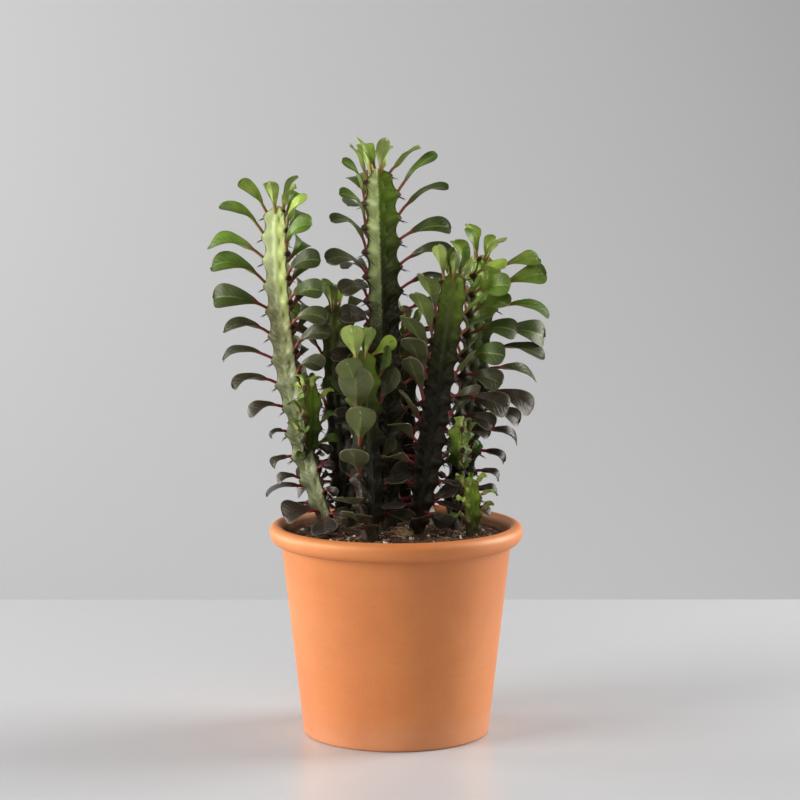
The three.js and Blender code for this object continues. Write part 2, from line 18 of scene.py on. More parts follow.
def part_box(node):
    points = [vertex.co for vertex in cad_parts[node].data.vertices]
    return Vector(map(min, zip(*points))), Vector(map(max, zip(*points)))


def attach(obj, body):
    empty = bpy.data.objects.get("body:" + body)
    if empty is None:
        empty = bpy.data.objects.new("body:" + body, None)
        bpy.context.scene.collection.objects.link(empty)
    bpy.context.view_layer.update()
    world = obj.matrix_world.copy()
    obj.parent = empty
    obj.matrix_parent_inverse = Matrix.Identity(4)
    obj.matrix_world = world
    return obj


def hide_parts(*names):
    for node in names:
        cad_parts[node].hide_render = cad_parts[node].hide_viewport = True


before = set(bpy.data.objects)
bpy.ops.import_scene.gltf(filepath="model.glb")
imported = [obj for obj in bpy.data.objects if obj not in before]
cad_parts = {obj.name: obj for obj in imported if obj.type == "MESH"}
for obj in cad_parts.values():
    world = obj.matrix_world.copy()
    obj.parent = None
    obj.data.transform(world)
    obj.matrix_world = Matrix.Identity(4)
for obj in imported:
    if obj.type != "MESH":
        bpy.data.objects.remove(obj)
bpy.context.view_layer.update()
pot_low, pot_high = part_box("pot")
MM = 0.001
POT_AXIS = np.array([(pot_low.x + pot_high.x) / 2, (pot_low.y + pot_high.y) / 2, 0.0])

# %% [markdown]
# The camera stands 1.8 m in front of the pot, 4 cm higher than the plant's top, and looks slightly
# down. That distance was found from how much the rim's ellipse opens in the photograph. A long lens
# then gives the same crop.

# %% Camera
CAMERA_BACK = 1.8
CAMERA_RIGHT = 0.0026
CAMERA_UP = 0.445
LOOK_DOWN = 0.1216
SENSOR = 36
FOCAL_PIXELS = 2717
PICTURE_PIXELS = 800
LENS = FOCAL_PIXELS / PICTURE_PIXELS * SENSOR


def make_camera():
    data = bpy.data.cameras.new("camera")
    data.sensor_width = SENSOR
    data.lens = LENS
    camera = bpy.data.objects.new("camera", data)
    camera.location = (POT_AXIS[0] + CAMERA_RIGHT, POT_AXIS[1] - CAMERA_BACK, CAMERA_UP)
    camera.rotation_euler = (math.pi / 2 - LOOK_DOWN, 0, 0)
    bpy.context.scene.collection.objects.link(camera)
    bpy.context.scene.camera = camera


make_camera()
print("camera", bpy.context.scene.camera.location[:], "lens", round(LENS, 1))

# %% [markdown]
# Materials are built from nodes, and these helpers keep that short. One gives a node its inputs, one
# adds a node, and a few stand for the nodes that are used most. Another turns a colour picked on a
# screen into the linear values that shaders work with.

# %% Helpers for materials
def screen(red, green, blue):
    """A colour given as 0 to 255 on a screen, as the linear values of a shader"""
    values = [c / 255 for c in (red, green, blue)]
    return [c / 12.92 if c < 0.04 else ((c + 0.055) / 1.055) ** 2.4 for c in values] + [1.0]


def connect(tree, node, inputs):
    """Gives each named input of a node its value, or another node's output"""
    for name, value in inputs.items():
        if isinstance(value, bpy.types.NodeSocket):
            tree.links.new(value, node.inputs[name])
        else:
            node.inputs[name].default_value = value


def add(tree, kind, inputs=None, **settings):
    """A new node with its settings and its inputs"""
    node = tree.nodes.new(kind)
    for name, value in settings.items():
        setattr(node, name, value)
    connect(tree, node, inputs or {})
    return node


def attribute(tree, name, output="Fac"):
    """What the points of a piece keep under a name"""
    return add(tree, "ShaderNodeAttribute", attribute_name=name).outputs[output]


def math_node(tree, operation, first, second=0.0):
    return add(tree, "ShaderNodeMath", {0: first, 1: second}, operation=operation).outputs[0]


def plus(tree, first, second):
    return math_node(tree, "ADD", first, second)


def times(tree, first, second):
    return math_node(tree, "MULTIPLY", first, second)


def fade(tree, value, low, high):
    """0 where the value is under 'low', 1 over 'high', and smooth between. It also runs downwards."""
    inputs = {"Value": value, "From Min": low, "From Max": high}
    return add(tree, "ShaderNodeMapRange", inputs, interpolation_type="SMOOTHSTEP").outputs[0]


def between(tree, value, low, high):
    """A value of 0 to 1 spread over another range"""
    return add(tree, "ShaderNodeMapRange", {"Value": value, "To Min": low, "To Max": high}).outputs[0]


def blend(tree, amount, first, second):
    """A colour between two, by an amount from 0 to 1"""
    return add(tree, "ShaderNodeMix", {0: amount, 6: first, 7: second}, data_type="RGBA").outputs[2]


def brighten(tree, colour, value):
    return add(tree, "ShaderNodeHueSaturation", {"Color": colour, "Value": value}).outputs["Color"]


def ramp(tree, value, stops):
    """Colours along a value, given as pairs of place and colour"""
    node = add(tree, "ShaderNodeValToRGB", {"Fac": value})
    while len(node.color_ramp.elements) < len(stops):
        node.color_ramp.elements.new(0.5)
    for element, (place, shade) in zip(node.color_ramp.elements, stops):
        element.position = place
        element.color = shade
    return node.outputs["Color"]


def scaled(tree, vector, scale):
    return add(tree, "ShaderNodeMapping", {"Vector": vector, "Scale": scale}).outputs["Vector"]


def noise_node(tree, place, scale, detail=3.0, roughness=0.5):
    inputs = {"Vector": place, "Scale": scale, "Detail": detail, "Roughness": roughness}
    return add(tree, "ShaderNodeTexNoise", inputs).outputs["Fac"]


def object_place(tree):
    """Where a point is. Every piece has its origin at that of the frame, so all share one space."""
    return add(tree, "ShaderNodeTexCoord").outputs["Object"]


def new_material(name):
    """A material with its node tree and its shader"""
    material = bpy.data.materials.new(name)
    material.use_nodes = True
    return material, material.node_tree, material.node_tree.nodes["Principled BSDF"]


def set_bump(tree, shader, height, distance):
    bump = add(tree, "ShaderNodeBump", {"Height": height, "Distance": distance, "Strength": 1.0})
    connect(tree, shader, {"Normal": bump.outputs["Normal"]})


print("half as bright on a screen is", round(screen(128, 128, 128)[0], 3), "in a shader")

# %% [markdown]
# Clay is never one even tone: a slow drift of light and dark lies over it, with a finer grain on top.
# These two layers of noise go into a shader node group with their scales as inputs, so that any other
# stone or clay could use it with its own values.

# %% A group for drifting tone and grain
DRIFT_SHARE = 0.75


def new_group(name, given, made):
    """An empty shader node group, with its inputs and outputs given as name and kind"""
    group = bpy.data.node_groups.new(name, "ShaderNodeTree")
    for way, sockets in (("INPUT", given), ("OUTPUT", made)):
        for socket, kind in sockets.items():
            group.interface.new_socket(socket, in_out=way, socket_type=f"NodeSocket{kind}")
    return group


def make_mottle_group():
    given = {"Place": "Vector", "Drift": "Float", "Grain": "Float"}
    group = new_group("mottle", given, {"Tone": "Float", "Height": "Float"})
    given = add(group, "NodeGroupInput").outputs
    drift = noise_node(group, given["Place"], given["Drift"], 4.0, 0.6)
    grain = noise_node(group, given["Place"], given["Grain"], 2.0)
    tone = plus(group, times(group, drift, DRIFT_SHARE), times(group, grain, 1 - DRIFT_SHARE))
    add(group, "NodeGroupOutput", {"Tone": tone, "Height": grain})
    return group


MOTTLE = make_mottle_group()
print("group", MOTTLE.name, "with", len(MOTTLE.nodes), "nodes")

# %% [markdown]
# The stage is a pale, slightly glossy table top and a plain grey wall well behind it. Neither belongs
# to the object. The table ends 45 cm behind the pot's axis, which puts its far edge at the height
# where the photograph has it.

# %% Table and backdrop
TABLE_BEHIND = 0.454
TABLE_FRONT = -2.6
TABLE_THICK = 0.04
STAGE_WIDTH = 6.0
WALL_BEHIND = 2.4
WALL_TOP = 3.0
WALL_FOOT = -1.0
TABLE_GREY = (0.56, 0.56, 0.565, 1)
WALL_GREY = (0.5, 0.5, 0.5, 1)
TABLE_ROUGHNESS = 0.3
WALL_ROUGHNESS = 0.9


def deselect():
    if bpy.context.object and bpy.context.object.mode != "OBJECT":
        bpy.ops.object.mode_set(mode="OBJECT")
    bpy.ops.object.select_all(action="DESELECT")


def apply_place():
    bpy.ops.object.transform_apply(location=True, rotation=True, scale=True)


def finish_stage(piece, name, shade, roughness):
    """A piece of the stage, with its own plain finish"""
    apply_place()
    piece.name = name
    material, tree, shader = new_material(name)
    connect(tree, shader, {"Base Color": shade, "Roughness": roughness})
    piece.data.materials.append(material)
    print(name, "in place, with a roughness of", roughness)


def make_table():
    deselect()
    middle = (TABLE_BEHIND + TABLE_FRONT) / 2
    bpy.ops.mesh.primitive_cube_add(size=1, location=(0, middle, -TABLE_THICK / 2))
    table = bpy.context.object
    table.scale = (STAGE_WIDTH, TABLE_BEHIND - TABLE_FRONT, TABLE_THICK)
    finish_stage(table, "table", TABLE_GREY, TABLE_ROUGHNESS)


def make_wall():
    deselect()
    middle = (WALL_TOP + WALL_FOOT) / 2
    bpy.ops.mesh.primitive_plane_add(size=1, location=(0, WALL_BEHIND, middle))
    wall = bpy.context.object
    wall.rotation_euler = (math.pi / 2, 0, 0)
    wall.scale = (STAGE_WIDTH, WALL_TOP - WALL_FOOT, 1)
    finish_stage(wall, "wall", WALL_GREY, WALL_ROUGHNESS)


make_table()
make_wall()

# %% [markdown]
# A product photographer lights a thing like this with two big soft boxes. The main one stands to the
# left and a little in front, the other at the right and further round. The strip of the pot between
# them, just right of its middle, stays darker, and that shows how round it is. A weak third one over
# the camera opens the shadows. Two more stand behind the table and brighten the wall, one at the left
# and one at the right below the table top.

# %% Lights
PLANT_MIDDLE = (0, 0, 0.2)
STUDIO_TINT = (1, 0.99, 0.97, 1)
STUDIO_STRENGTH = 0.08


def add_softbox(name, at, aim, size, watts):
    data = bpy.data.lights.new(name, "AREA")
    data.shape = "RECTANGLE"
    data.size, data.size_y = size
    data.energy = watts
    light = bpy.data.objects.new(name, data)
    light.location = at
    light.rotation_euler = (Vector(aim) - Vector(at)).to_track_quat("-Z", "Y").to_euler()
    bpy.context.scene.collection.objects.link(light)
    print("soft box", name, "of", watts, "watts at", at)


def make_world():
    world = bpy.data.worlds.new("studio")
    world.use_nodes = True
    background = world.node_tree.nodes["Background"]
    connect(world.node_tree, background, {"Color": STUDIO_TINT, "Strength": STUDIO_STRENGTH})
    bpy.context.scene.world = world
    bpy.context.scene.view_settings.view_transform = "Standard"


add_softbox("key_left", (-1.55, -0.82, 0.88), aim=PLANT_MIDDLE, size=(1.0, 1.2), watts=34.5)
add_softbox("fill_right", (1.43, 0.42, 0.7), aim=PLANT_MIDDLE, size=(0.9, 1.2), watts=35)
add_softbox("front", (0, -1.9, 1.7), aim=(0, -0.25, 0), size=(1.6, 1.2), watts=10)
add_softbox("wall_left", (-2.35, 0.95, 0.51), aim=(1.4, WALL_BEHIND, 0.12), size=(1.5, 1.1), watts=64)
add_softbox("wall_low", (1.0, 1.4, -1.0), aim=(1.0, WALL_BEHIND, 0.2), size=(2.4, 0.4), watts=10.5)
make_world()

# %% [markdown]
# A clay pot is thrown or pressed in a round mould, so every level of it is a circle. It could be a
# spun profile, but it is built here as a potter raises it: one ring is drawn at the drain hole, then
# pulled out and up ring by ring over the foot, the wall and the rolled rim, and down again inside.

# %% The pot
RIM_RADIUS = (pot_high.x - pot_low.x) / 2 / MM
POT_HEIGHT = pot_high.z / MM
RIM_UNDERSIDE = 129
RIM_WIDEST = 137.2
FLARE_FROM = 131
FLARE_SLOPE = 0.48
NECK_RADIUS = 77
BASE_RADIUS = 62.5
BASE_EDGE = 2
WALL = 5.5
FLOOR = 9
FLOOR_FILLET = 3
FOOT_INSET = 12
WALL_RINGS = (30, 80)
NECK_FILLET = ((-0.15, -1.2), (0.4, -0.3))
BULGE = 6
LIP = 5
INNER_LIP = 4
FLARE_LIFT = 2
DRAIN_RADIUS = 9
EDGE_STEPS = 4
RIM_STEPS = 8
POT_CORNERS = 160
WALL_SLOPE = (NECK_RADIUS - BASE_RADIUS) / (RIM_UNDERSIDE - BASE_EDGE)


def wall_inside(z):
    """Radius of the inside of the wall at a height. Its mouth flares."""
    flare = FLARE_SLOPE * max(0, z - FLARE_FROM)
    return NECK_RADIUS - WALL - WALL_SLOPE * (RIM_UNDERSIDE - z) + flare


def arc(centre, wide, high, start, end, steps):
    """Points of an oval arc in a profile, as radius and height, with the angles in degrees"""
    angles = np.radians(np.linspace(start, end, steps + 1))
    return [(centre[0] + wide * math.cos(a), centre[1] + high * math.sin(a)) for a in angles]


def pot_profile():
    """From the drain hole out over the foot, up the wall, round the rim and down again inside"""
    crest = (RIM_RADIUS - LIP, RIM_WIDEST)
    return [
        (DRAIN_RADIUS, 0),
        (BASE_RADIUS - FOOT_INSET, 0),
        *arc((BASE_RADIUS - BASE_EDGE, BASE_EDGE), BASE_EDGE, BASE_EDGE, -90, 0, EDGE_STEPS),
        *[(BASE_RADIUS + WALL_SLOPE * up, BASE_EDGE + up) for up in WALL_RINGS],
        *[(NECK_RADIUS + out, RIM_UNDERSIDE + up) for out, up in NECK_FILLET],
        *arc((RIM_RADIUS - BULGE, RIM_WIDEST), BULGE, RIM_WIDEST - RIM_UNDERSIDE, -82, 0, RIM_STEPS),
        *arc(crest, LIP, POT_HEIGHT - RIM_WIDEST, 10, 90, RIM_STEPS),
        *arc(crest, INNER_LIP, POT_HEIGHT - RIM_WIDEST, 100, 165, RIM_STEPS),
        (wall_inside(FLARE_FROM + FLARE_LIFT), FLARE_FROM + FLARE_LIFT),
        (wall_inside(FLARE_FROM), FLARE_FROM),
        (wall_inside(FLOOR + FLOOR_FILLET), FLOOR + FLOOR_FILLET),
        (wall_inside(FLOOR) - FLOOR_FILLET, FLOOR),
        (DRAIN_RADIUS, FLOOR),
        (DRAIN_RADIUS, 0),
    ]


def raise_rings(name, profile, corners, centre):
    """A round body made of one ring that is pulled along a profile of radius and height"""
    deselect()
    (radius, height), *rest = profile
    place = (centre[0], centre[1], centre[2] + height)
    bpy.ops.mesh.primitive_circle_add(vertices=corners, radius=radius, location=place)
    piece = bpy.context.object
    piece.name = name
    piece.data.name = name
    apply_place()
    bpy.ops.object.mode_set(mode="EDIT")
    bpy.ops.mesh.select_all(action="SELECT")
    for next_radius, next_height in rest:
        lift = (0, 0, next_height - height)
        bpy.ops.mesh.extrude_region_move(TRANSFORM_OT_translate={"value": lift})
        growth = next_radius / radius
        bpy.ops.transform.resize(value=(growth, growth, 1), center_override=place)
        radius, height = next_radius, next_height
    bpy.ops.mesh.select_all(action="SELECT")
    bpy.ops.mesh.remove_doubles(threshold=1e-6)
    bpy.ops.mesh.normals_make_consistent(inside=False)
    bpy.ops.object.mode_set(mode="OBJECT")
    return piece


def lathe(name, profile, corners):
    """Rings about the pot's axis, from a profile in millimetres"""
    return raise_rings(name, [(r * MM, z * MM) for r, z in profile], corners, POT_AXIS)


def finish_piece(piece, material, smooth_angle=40):
    """Smooth shading, a material, and the piece's place in the frame"""
    deselect()
    piece.select_set(True)
    bpy.context.view_layer.objects.active = piece
    bpy.ops.object.shade_smooth_by_angle(angle=math.radians(smooth_angle))
    piece.data.materials.clear()
    piece.data.materials.append(material)
    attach(piece, "root")
    sides = sum(len(face.vertices) - 2 for face in piece.data.polygons)
    print(piece.name, sides, "triangles")
    return piece


# %% [markdown]
# Fired terracotta is matt, warm and a little uneven. Turning leaves faint level bands on it, the clay
# holds fine dark grains, and damp and lime fade it slightly near the foot. Inside, above the soil, the
# clay is painted a patchy dark brown as painted shade in the pot's mouth. The relief is small, so the
# bump is well under a millimetre.

# %% Terracotta
DUST_TO = 0.03
INNER_SHADE_ABOVE = 0.1295
INNER_SHADE_INSIDE = 0.0775
BAND_CLAY = screen(204, 116, 66)
SPECK = screen(150, 84, 56)
DUST = screen(232, 205, 184)
PAINTED_INNER_SHADE = screen(84, 46, 27)


def from_axis(tree, place):
    """How far a point is from the pot's axis"""
    aside = add(tree, "ShaderNodeVectorMath", {0: place, 1: POT_AXIS}, operation="SUBTRACT")
    level = add(tree, "ShaderNodeVectorMath", {0: aside.outputs[0], 1: (1, 1, 0)}, operation="MULTIPLY")
    return add(tree, "ShaderNodeVectorMath", {0: level.outputs[0]}, operation="LENGTH").outputs["Value"]


def in_inner_shade(tree, place, height, tone):
    """1 on the painted shade inside the rim above the soil, patchy where the clay's tone is high"""
    inside = fade(tree, from_axis(tree, place), INNER_SHADE_INSIDE, INNER_SHADE_INSIDE - 0.0025)
    above_soil = fade(tree, height, INNER_SHADE_ABOVE, INNER_SHADE_ABOVE + 0.001)
    return times(tree, times(tree, inside, above_soil), fade(tree, tone, 0.1, 0.6))


def terracotta_material():
    material, tree, shader = new_material("terracotta")
    place = object_place(tree)
    height = add(tree, "ShaderNodeSeparateXYZ", {"Vector": place}).outputs["Z"]
    mottle = add(tree, "ShaderNodeGroup", node_tree=MOTTLE)
    connect(tree, mottle, {"Place": place, "Drift": 14, "Grain": 900})
    tone = mottle.outputs["Tone"]
    clay = ramp(tree, tone, [
        (0.25, screen(196, 106, 54)),
        (0.50, screen(210, 121, 64)),
        (0.75, screen(220, 136, 76)),
    ])
    bands = noise_node(tree, scaled(tree, place, (0.6, 0.6, 60)), 4.0, 4.0, 0.6)
    clay = blend(tree, times(tree, fade(tree, bands, 0.45, 0.7), 0.35), clay, BAND_CLAY)
    specks = noise_node(tree, place, 1600, 1.0)
    clay = blend(tree, times(tree, fade(tree, specks, 0.68, 0.78), 0.4), clay, SPECK)
    foot = times(tree, fade(tree, height, DUST_TO, 0.0), 0.22)
    clay = blend(tree, times(tree, foot, tone), clay, DUST)
    # Painted shade: the inner wall above the soil is darkened to brown, patchy by the clay's tone
    inner_shade = in_inner_shade(tree, place, height, tone)
    rough = plus(tree, between(tree, tone, 0.46, 0.6), times(tree, inner_shade, 0.45))
    connect(tree, shader, {
        "Base Color": blend(tree, inner_shade, clay, PAINTED_INNER_SHADE), "Roughness": rough,
        "Specular IOR Level": 1.0, "Specular Tint": (1, 0.93, 0.6, 1),
    })
    relief = plus(tree, times(tree, bands, 1.6), times(tree, mottle.outputs["Height"], 0.5))
    set_bump(tree, shader, relief, 0.00012)
    return material


pot = lathe("clay_pot", pot_profile(), POT_CORNERS)
finish_piece(pot, terracotta_material())
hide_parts("pot")

# %% [markdown]
# The plant follows a simple rule, and the CAD model was grown by the same one. A stem is a curved
# axis from foot to tip. Three ribs run along it, each with teeth that stand closer together near the
# growing tip, and each tooth gives one leaf and two spines. What differs between the stems is listed
# here, and what a stem doesn't list is as usual. Lengths are millimetres about the pot's axis, and
# angles are degrees. 'rib' is the ribs' radius, 'pitch' the step from tooth to tooth, 'phase' where
# on its step the first tooth stands, and 'turn' the way the first rib faces. 'leaf' and 'old' are the
# lengths of leaves above and below, 'wide' is their width as a share of that, and 'arching' how much
# they bend over. Four entries have a value for each rib: how its leaves swing aside, lift, reach and
# roll. 'low' lists leaves near the soil by height, direction, length, rise, arch and roll. 'waist' is
# where an old joint narrows the stem, and 'seed' sets its draws. A foot with a height is a branch's.

# %% The stems
SOIL_LEVEL = 134
USUAL = {
    "swing": (0, 0, 0), "lift": (0, 0, 0), "reach": (1, 1, 1), "roll": (0, 0, 0), "arching": 1,
    "waist": None, "low": (),
}
BODIES = [
    {
        "name": "stem_left_tall", "foot": (-43, 0), "bend": (-80, -6, 240), "tip": (-77.5, -8, 355),
        "rib": 12, "pitch": 16.5, "turn": 185, "phase": 0.6, "leaf": 41, "old": 17, "wide": 0.37,
        "swing": (0, 8, 0), "lift": (0, 6, 12), "reach": (1, 0.95, 0.9), "roll": (-42, 45, 45),
        "waist": 139, "seed": 11,
        "low": ((18, 205, 26, -4, 60, -40), (14, 268, 24, -12, 50, 0), (36, 186, 31, 8, 55, 0)),
    },
    {
        "name": "stem_left_tall", "foot": (-62, -5, 190), "bend": (-56, -25, 194), "tip": (-58, -25, 243),
        "rib": 9.5, "pitch": 16, "turn": 250, "phase": 0.4, "leaf": 15, "old": 13, "wide": 0.42,
        "lift": (20, 0, 0), "seed": 17,
    },
    {
        "name": "stem_centre_tallest", "foot": (-6, 10), "bend": (-9, 10, 250), "tip": (-12.5, 8, 379),
        "rib": 16, "pitch": 16, "turn": 350, "phase": 0.4, "leaf": 41, "old": 24, "wide": 0.34,
        "swing": (0, 0, -5), "lift": (4, 8, 16), "reach": (1, 1, 0.95), "roll": (25, 0, -50),
        "arching": 0.85, "seed": 23,
    },
    {
        "name": "stem_right_back", "foot": (36.5, 9), "bend": (48.5, 7, 228), "tip": (58, 1, 322),
        "rib": 14.5, "pitch": 14, "turn": 4, "phase": 0.95, "leaf": 38, "old": 20, "wide": 0.42,
        "swing": (0, 0, 82), "lift": (-14, 10, -5), "reach": (1, 0.9, 1), "roll": (42, 0, 50),
        "arching": 0.8, "seed": 37,
    },
    {
        "name": "stem_right_back",
        "foot": (43, 7, 178), "bend": (42.5, -18.5, 182), "tip": (42.3, -19.8, 214),
        "rib": 9.5, "pitch": 14, "turn": 280, "phase": 0.4, "leaf": 13, "old": 12, "wide": 0.42,
        "lift": (30, 20, 20), "arching": 0.7, "seed": 41,
    },
    {
        "name": "stem_right_centre", "foot": (13, -12), "bend": (25.5, -15, 222), "tip": (38.5, -17, 312),
        "rib": 13, "pitch": 14, "turn": 217, "phase": 0.75, "leaf": 33, "old": 25, "wide": 0.42,
        "swing": (8, 0, 0), "lift": (45, 15, 10), "reach": (1.05, 0.62, 0.9), "roll": (0, 20, 0),
        "arching": 0.6, "seed": 53,
        "low": ((20, 330, 30, -20, 45, 40), (14, 300, 26, -18, 40, 20), (24, 350, 26, -8, 45, 30)),
    },
    {
        "name": "stem_front_short", "foot": (-17, -31), "bend": (-21.5, -33, 190), "tip": (-23, -33, 262),
        "rib": 14, "pitch": 18, "turn": 255, "phase": 0.75, "leaf": 29, "old": 26, "wide": 0.62,
        "swing": (5, 0, 0), "lift": (36, 15, 12), "reach": (1, 0.75, 0.62), "roll": (0, 55, -20),
        "arching": 0.4, "seed": 61, "low": ((15, 268, 22, -6, 45, 0),),
    },
    {
        "name": "offshoot_right", "foot": (49.5, -16), "bend": (50.5, -17, 150), "tip": (48, -18, 176),
        "rib": 8.5, "pitch": 11, "turn": 350, "phase": 0.5, "leaf": 13, "old": 12, "wide": 0.45,
        "seed": 71,
    },
    {
        "name": "stem_back_left", "foot": (-31, 27), "bend": (-39, 28, 195), "tip": (-42, 26, 288),
        "rib": 12, "pitch": 17, "turn": 200, "phase": 0.3, "leaf": 38, "old": 26, "wide": 0.42,
        "roll": (-30, 0, 0), "seed": 83,
        "low": ((24, 215, 30, -5, 60, -30), (15, 190, 26, -8, 60, -20)),
    },
    {
        "name": "stem_back_centre", "foot": (3, 37), "bend": (4, 42, 200), "tip": (8, 44, 272),
        "rib": 12, "pitch": 17, "turn": 330, "phase": 0.5, "leaf": 36, "old": 24, "wide": 0.42,
        "seed": 97,
    },
]
STEMS = [{**USUAL, **body, "number": i} for i, body in enumerate(BODIES)]
STEM_NAMES = sorted({stem["name"] for stem in STEMS})


def is_rooted(stem):
    """True for a stem that stands in the soil, false for a side branch"""
    return len(stem["foot"]) == 2


def bodies_of(name):
    """The stem of that name and its side branches"""
    return [stem for stem in STEMS if stem["name"] == name]


print(len(STEMS), "bodies on", len(STEM_NAMES), "stems,", sum(map(is_rooted, STEMS)), "in the soil")

# %% [markdown]
# Next come the shapes of a stem in numbers: its axis, the directions across it at any distance down
# from the tip, the radius of the ribs, and where the teeth stand. A notch between two teeth takes a
# quarter off the rib. Everything works on whole arrays, so one call places a whole grid of points.

# %% How a stem is shaped
RIBS = 3
RIB_HALF = 180 / RIBS
VALLEY = 0.38
SCALLOP = 0.27
CROWDING = 0.45
TIP_ROUNDING = 1.1
TIP_BLUNT = 0.25
FOOT_NARROWING = 0.38
FOOT_TAPER = 0.3
WAIST_DEPTH = 0.22
WAIST_LONG = 8
BARE_FOOT = 11
AXIS_STEPS = 200
AXIS_STEP = 0.0001
X_AXIS = np.array([1.0, 0.0, 0.0])


def draw(n):
    """A repeatable number from 0 to 1 for the nth draw"""
    wave = math.sin(n * 12.9898) * 43758.5453
    return wave - math.floor(wave)


def spread(n, reach):
    """A repeatable number from -reach to reach"""
    return (2 * draw(n) - 1) * reach


def smooth(x):
    """0 under 0, 1 over 1, and an even S between"""
    k = np.clip(x, 0, 1)
    return k * k * (3 - 2 * k)


def curve_at(points, t):
    """Places on a curve from the first to the third point, drawn towards the second"""
    t = np.asarray(t, float)[..., None]
    return (1 - t) ** 2 * points[0] + 2 * (1 - t) * t * points[1] + t ** 2 * points[2]


def add_axis(stem):
    """Gives a stem its curve and the curve's length"""
    foot = (*stem["foot"], SOIL_LEVEL) if is_rooted(stem) else stem["foot"]
    stem["curve"] = np.array([foot, stem["bend"], stem["tip"]], float)
    steps = curve_at(stem["curve"], np.linspace(0, 1, AXIS_STEPS + 1))
    stem["length"] = float(np.linalg.norm(np.diff(steps, axis=0), axis=1).sum())


def unit(vectors):
    return vectors / np.linalg.norm(vectors, axis=-1, keepdims=True)


def frame_at(stem, down):
    """Points on the axis at distances down from the tip, with the directions along and across"""
    t = 1 - np.asarray(down, float) / stem["length"]
    ahead = curve_at(stem["curve"], np.minimum(t + AXIS_STEP, 1))
    along = unit(ahead - curve_at(stem["curve"], np.maximum(t - AXIS_STEP, 0)))
    across = unit(X_AXIS - along * along[..., :1])
    return curve_at(stem["curve"], t), along, across, np.cross(along, across)


def outward(across, square, degrees):
    """A direction out from the axis, turned about it"""
    angle = np.radians(degrees)
    return across * np.cos(angle)[..., None] + square * np.sin(angle)[..., None]


def down_to(stem, count):
    """Distance down from the tip of tooth number 'count'"""
    return stem["pitch"] * (count - CROWDING * (1 - np.exp(-count)))


def rib_radius(stem, down):
    """Radius of the ribs over the teeth, less at the tip, at the foot and at an old joint"""
    top = np.minimum(1, down / (TIP_ROUNDING * stem["rib"]))
    rounding = np.maximum(TIP_BLUNT, np.sqrt(1 - (1 - top) ** 2))
    height = (stem["length"] - down) / stem["length"]
    foot = 1 - FOOT_NARROWING * (1 - smooth(height / FOOT_TAPER))
    waist = stem["waist"]
    joint = 1 - WAIST_DEPTH * np.exp(-(((down - waist) / WAIST_LONG) ** 2)) if waist else 1.0
    return stem["rib"] * rounding * foot * joint


def rib_angle(stem, rib):
    return stem["turn"] + rib * 360 / RIBS


def rib_phase(stem, rib):
    return (stem["phase"] + rib * 2 / RIBS) % 1


def teeth_of(stem):
    """Every tooth of a stem: its rib, its distance from the tip and the number for its draws"""
    lowest = stem["length"] - (BARE_FOOT if is_rooted(stem) else BARE_FOOT / 2)
    teeth = []
    for rib in range(RIBS):
        i = 0
        while down_to(stem, rib_phase(stem, rib) + i) < lowest:
            down = float(down_to(stem, rib_phase(stem, rib) + i))
            teeth.append({"rib": rib, "down": down, "number": stem["seed"] * 100 + rib * 30 + i})
            i += 1
    return teeth


for stem in STEMS:
    add_axis(stem)
    stem["teeth"] = teeth_of(stem)
    print(stem["name"], round(stem["length"]), "mm with", len(stem["teeth"]), "teeth")

# %% [markdown]
# A leaf grows out of the rib just above its tooth. It starts at one angle and bends over, mostly in
# its far half. The CAD model tried each leaf in up to twelve ways until it was clear of the others,
# and left it out if none was. The same plans and ways are worked out here, and the CAD mesh itself
# says which one was used: its leaf has corners at the tip, along both edges and under the midrib.

# %% How a leaf is held
WIDEST = 0.776
SUNK = 3.2
SUNK_SHARE = 0.8
ROOT_IN = 1.2
ABOVE_TOOTH = 1.8
ARCH_POWER = 1.7
STEEPEST = 88
LOWEST = -80
MIDRIB_STEPS = 20
YOUNG = {"length": 0.64, "until": 35}
AGEING = {"from": 55, "over_at_least": 30, "over_length_less": 75}
RISE = {"old": -6, "young": 52, "over": 55}
ARCH = {"young": 38, "more": 50, "over": 45}
LUCK = {"length": 0.12, "swing": 16, "rise": 8, "arch": 14, "roll": 26}
CROWN_LUCK = {"length": 0.2, "angle": 20, "rise": 7, "arch": 14, "roll": 30}
OLD_LEAF_WIDE = 0.66
OLD_LEAF_ROOT = 0.3
TOP_LEAF_DOWN = 4
CROWN_LEAVES = 3
CROWN_DOWN = 5
CROWN_ROOT = 0.25
CROWN_SHARE = 0.55
CROWN_RISE = 72
CROWN_ARCH = 30
SHORT_LEAF = 24
SHORT_LEAF_STATIONS = (0.3, 0.76)
LEAF_STATIONS = (0.26, 0.6, 0.84)
STALK_SHARE = 0.3
CAD_STALK = {"half": 1.15, "deep": 2}
CAD_BLADE = {"deep": 1.5, "base_power": 1.9, "tip_power": 0.55}
TOUCHING = 5e-5
ENOUGH_CORNERS = 3
WAYS = [
    (0, 0, 1), (0, 20, 1), (0, -20, 1), (24, 0, 1), (-24, 0, 1), (0, 40, 0.85),
    (26, 25, 0.85), (-26, 25, 0.85), (0, 0, 0.62), (30, 30, 0.62), (-30, 30, 0.62), (0, 60, 0.5),
]


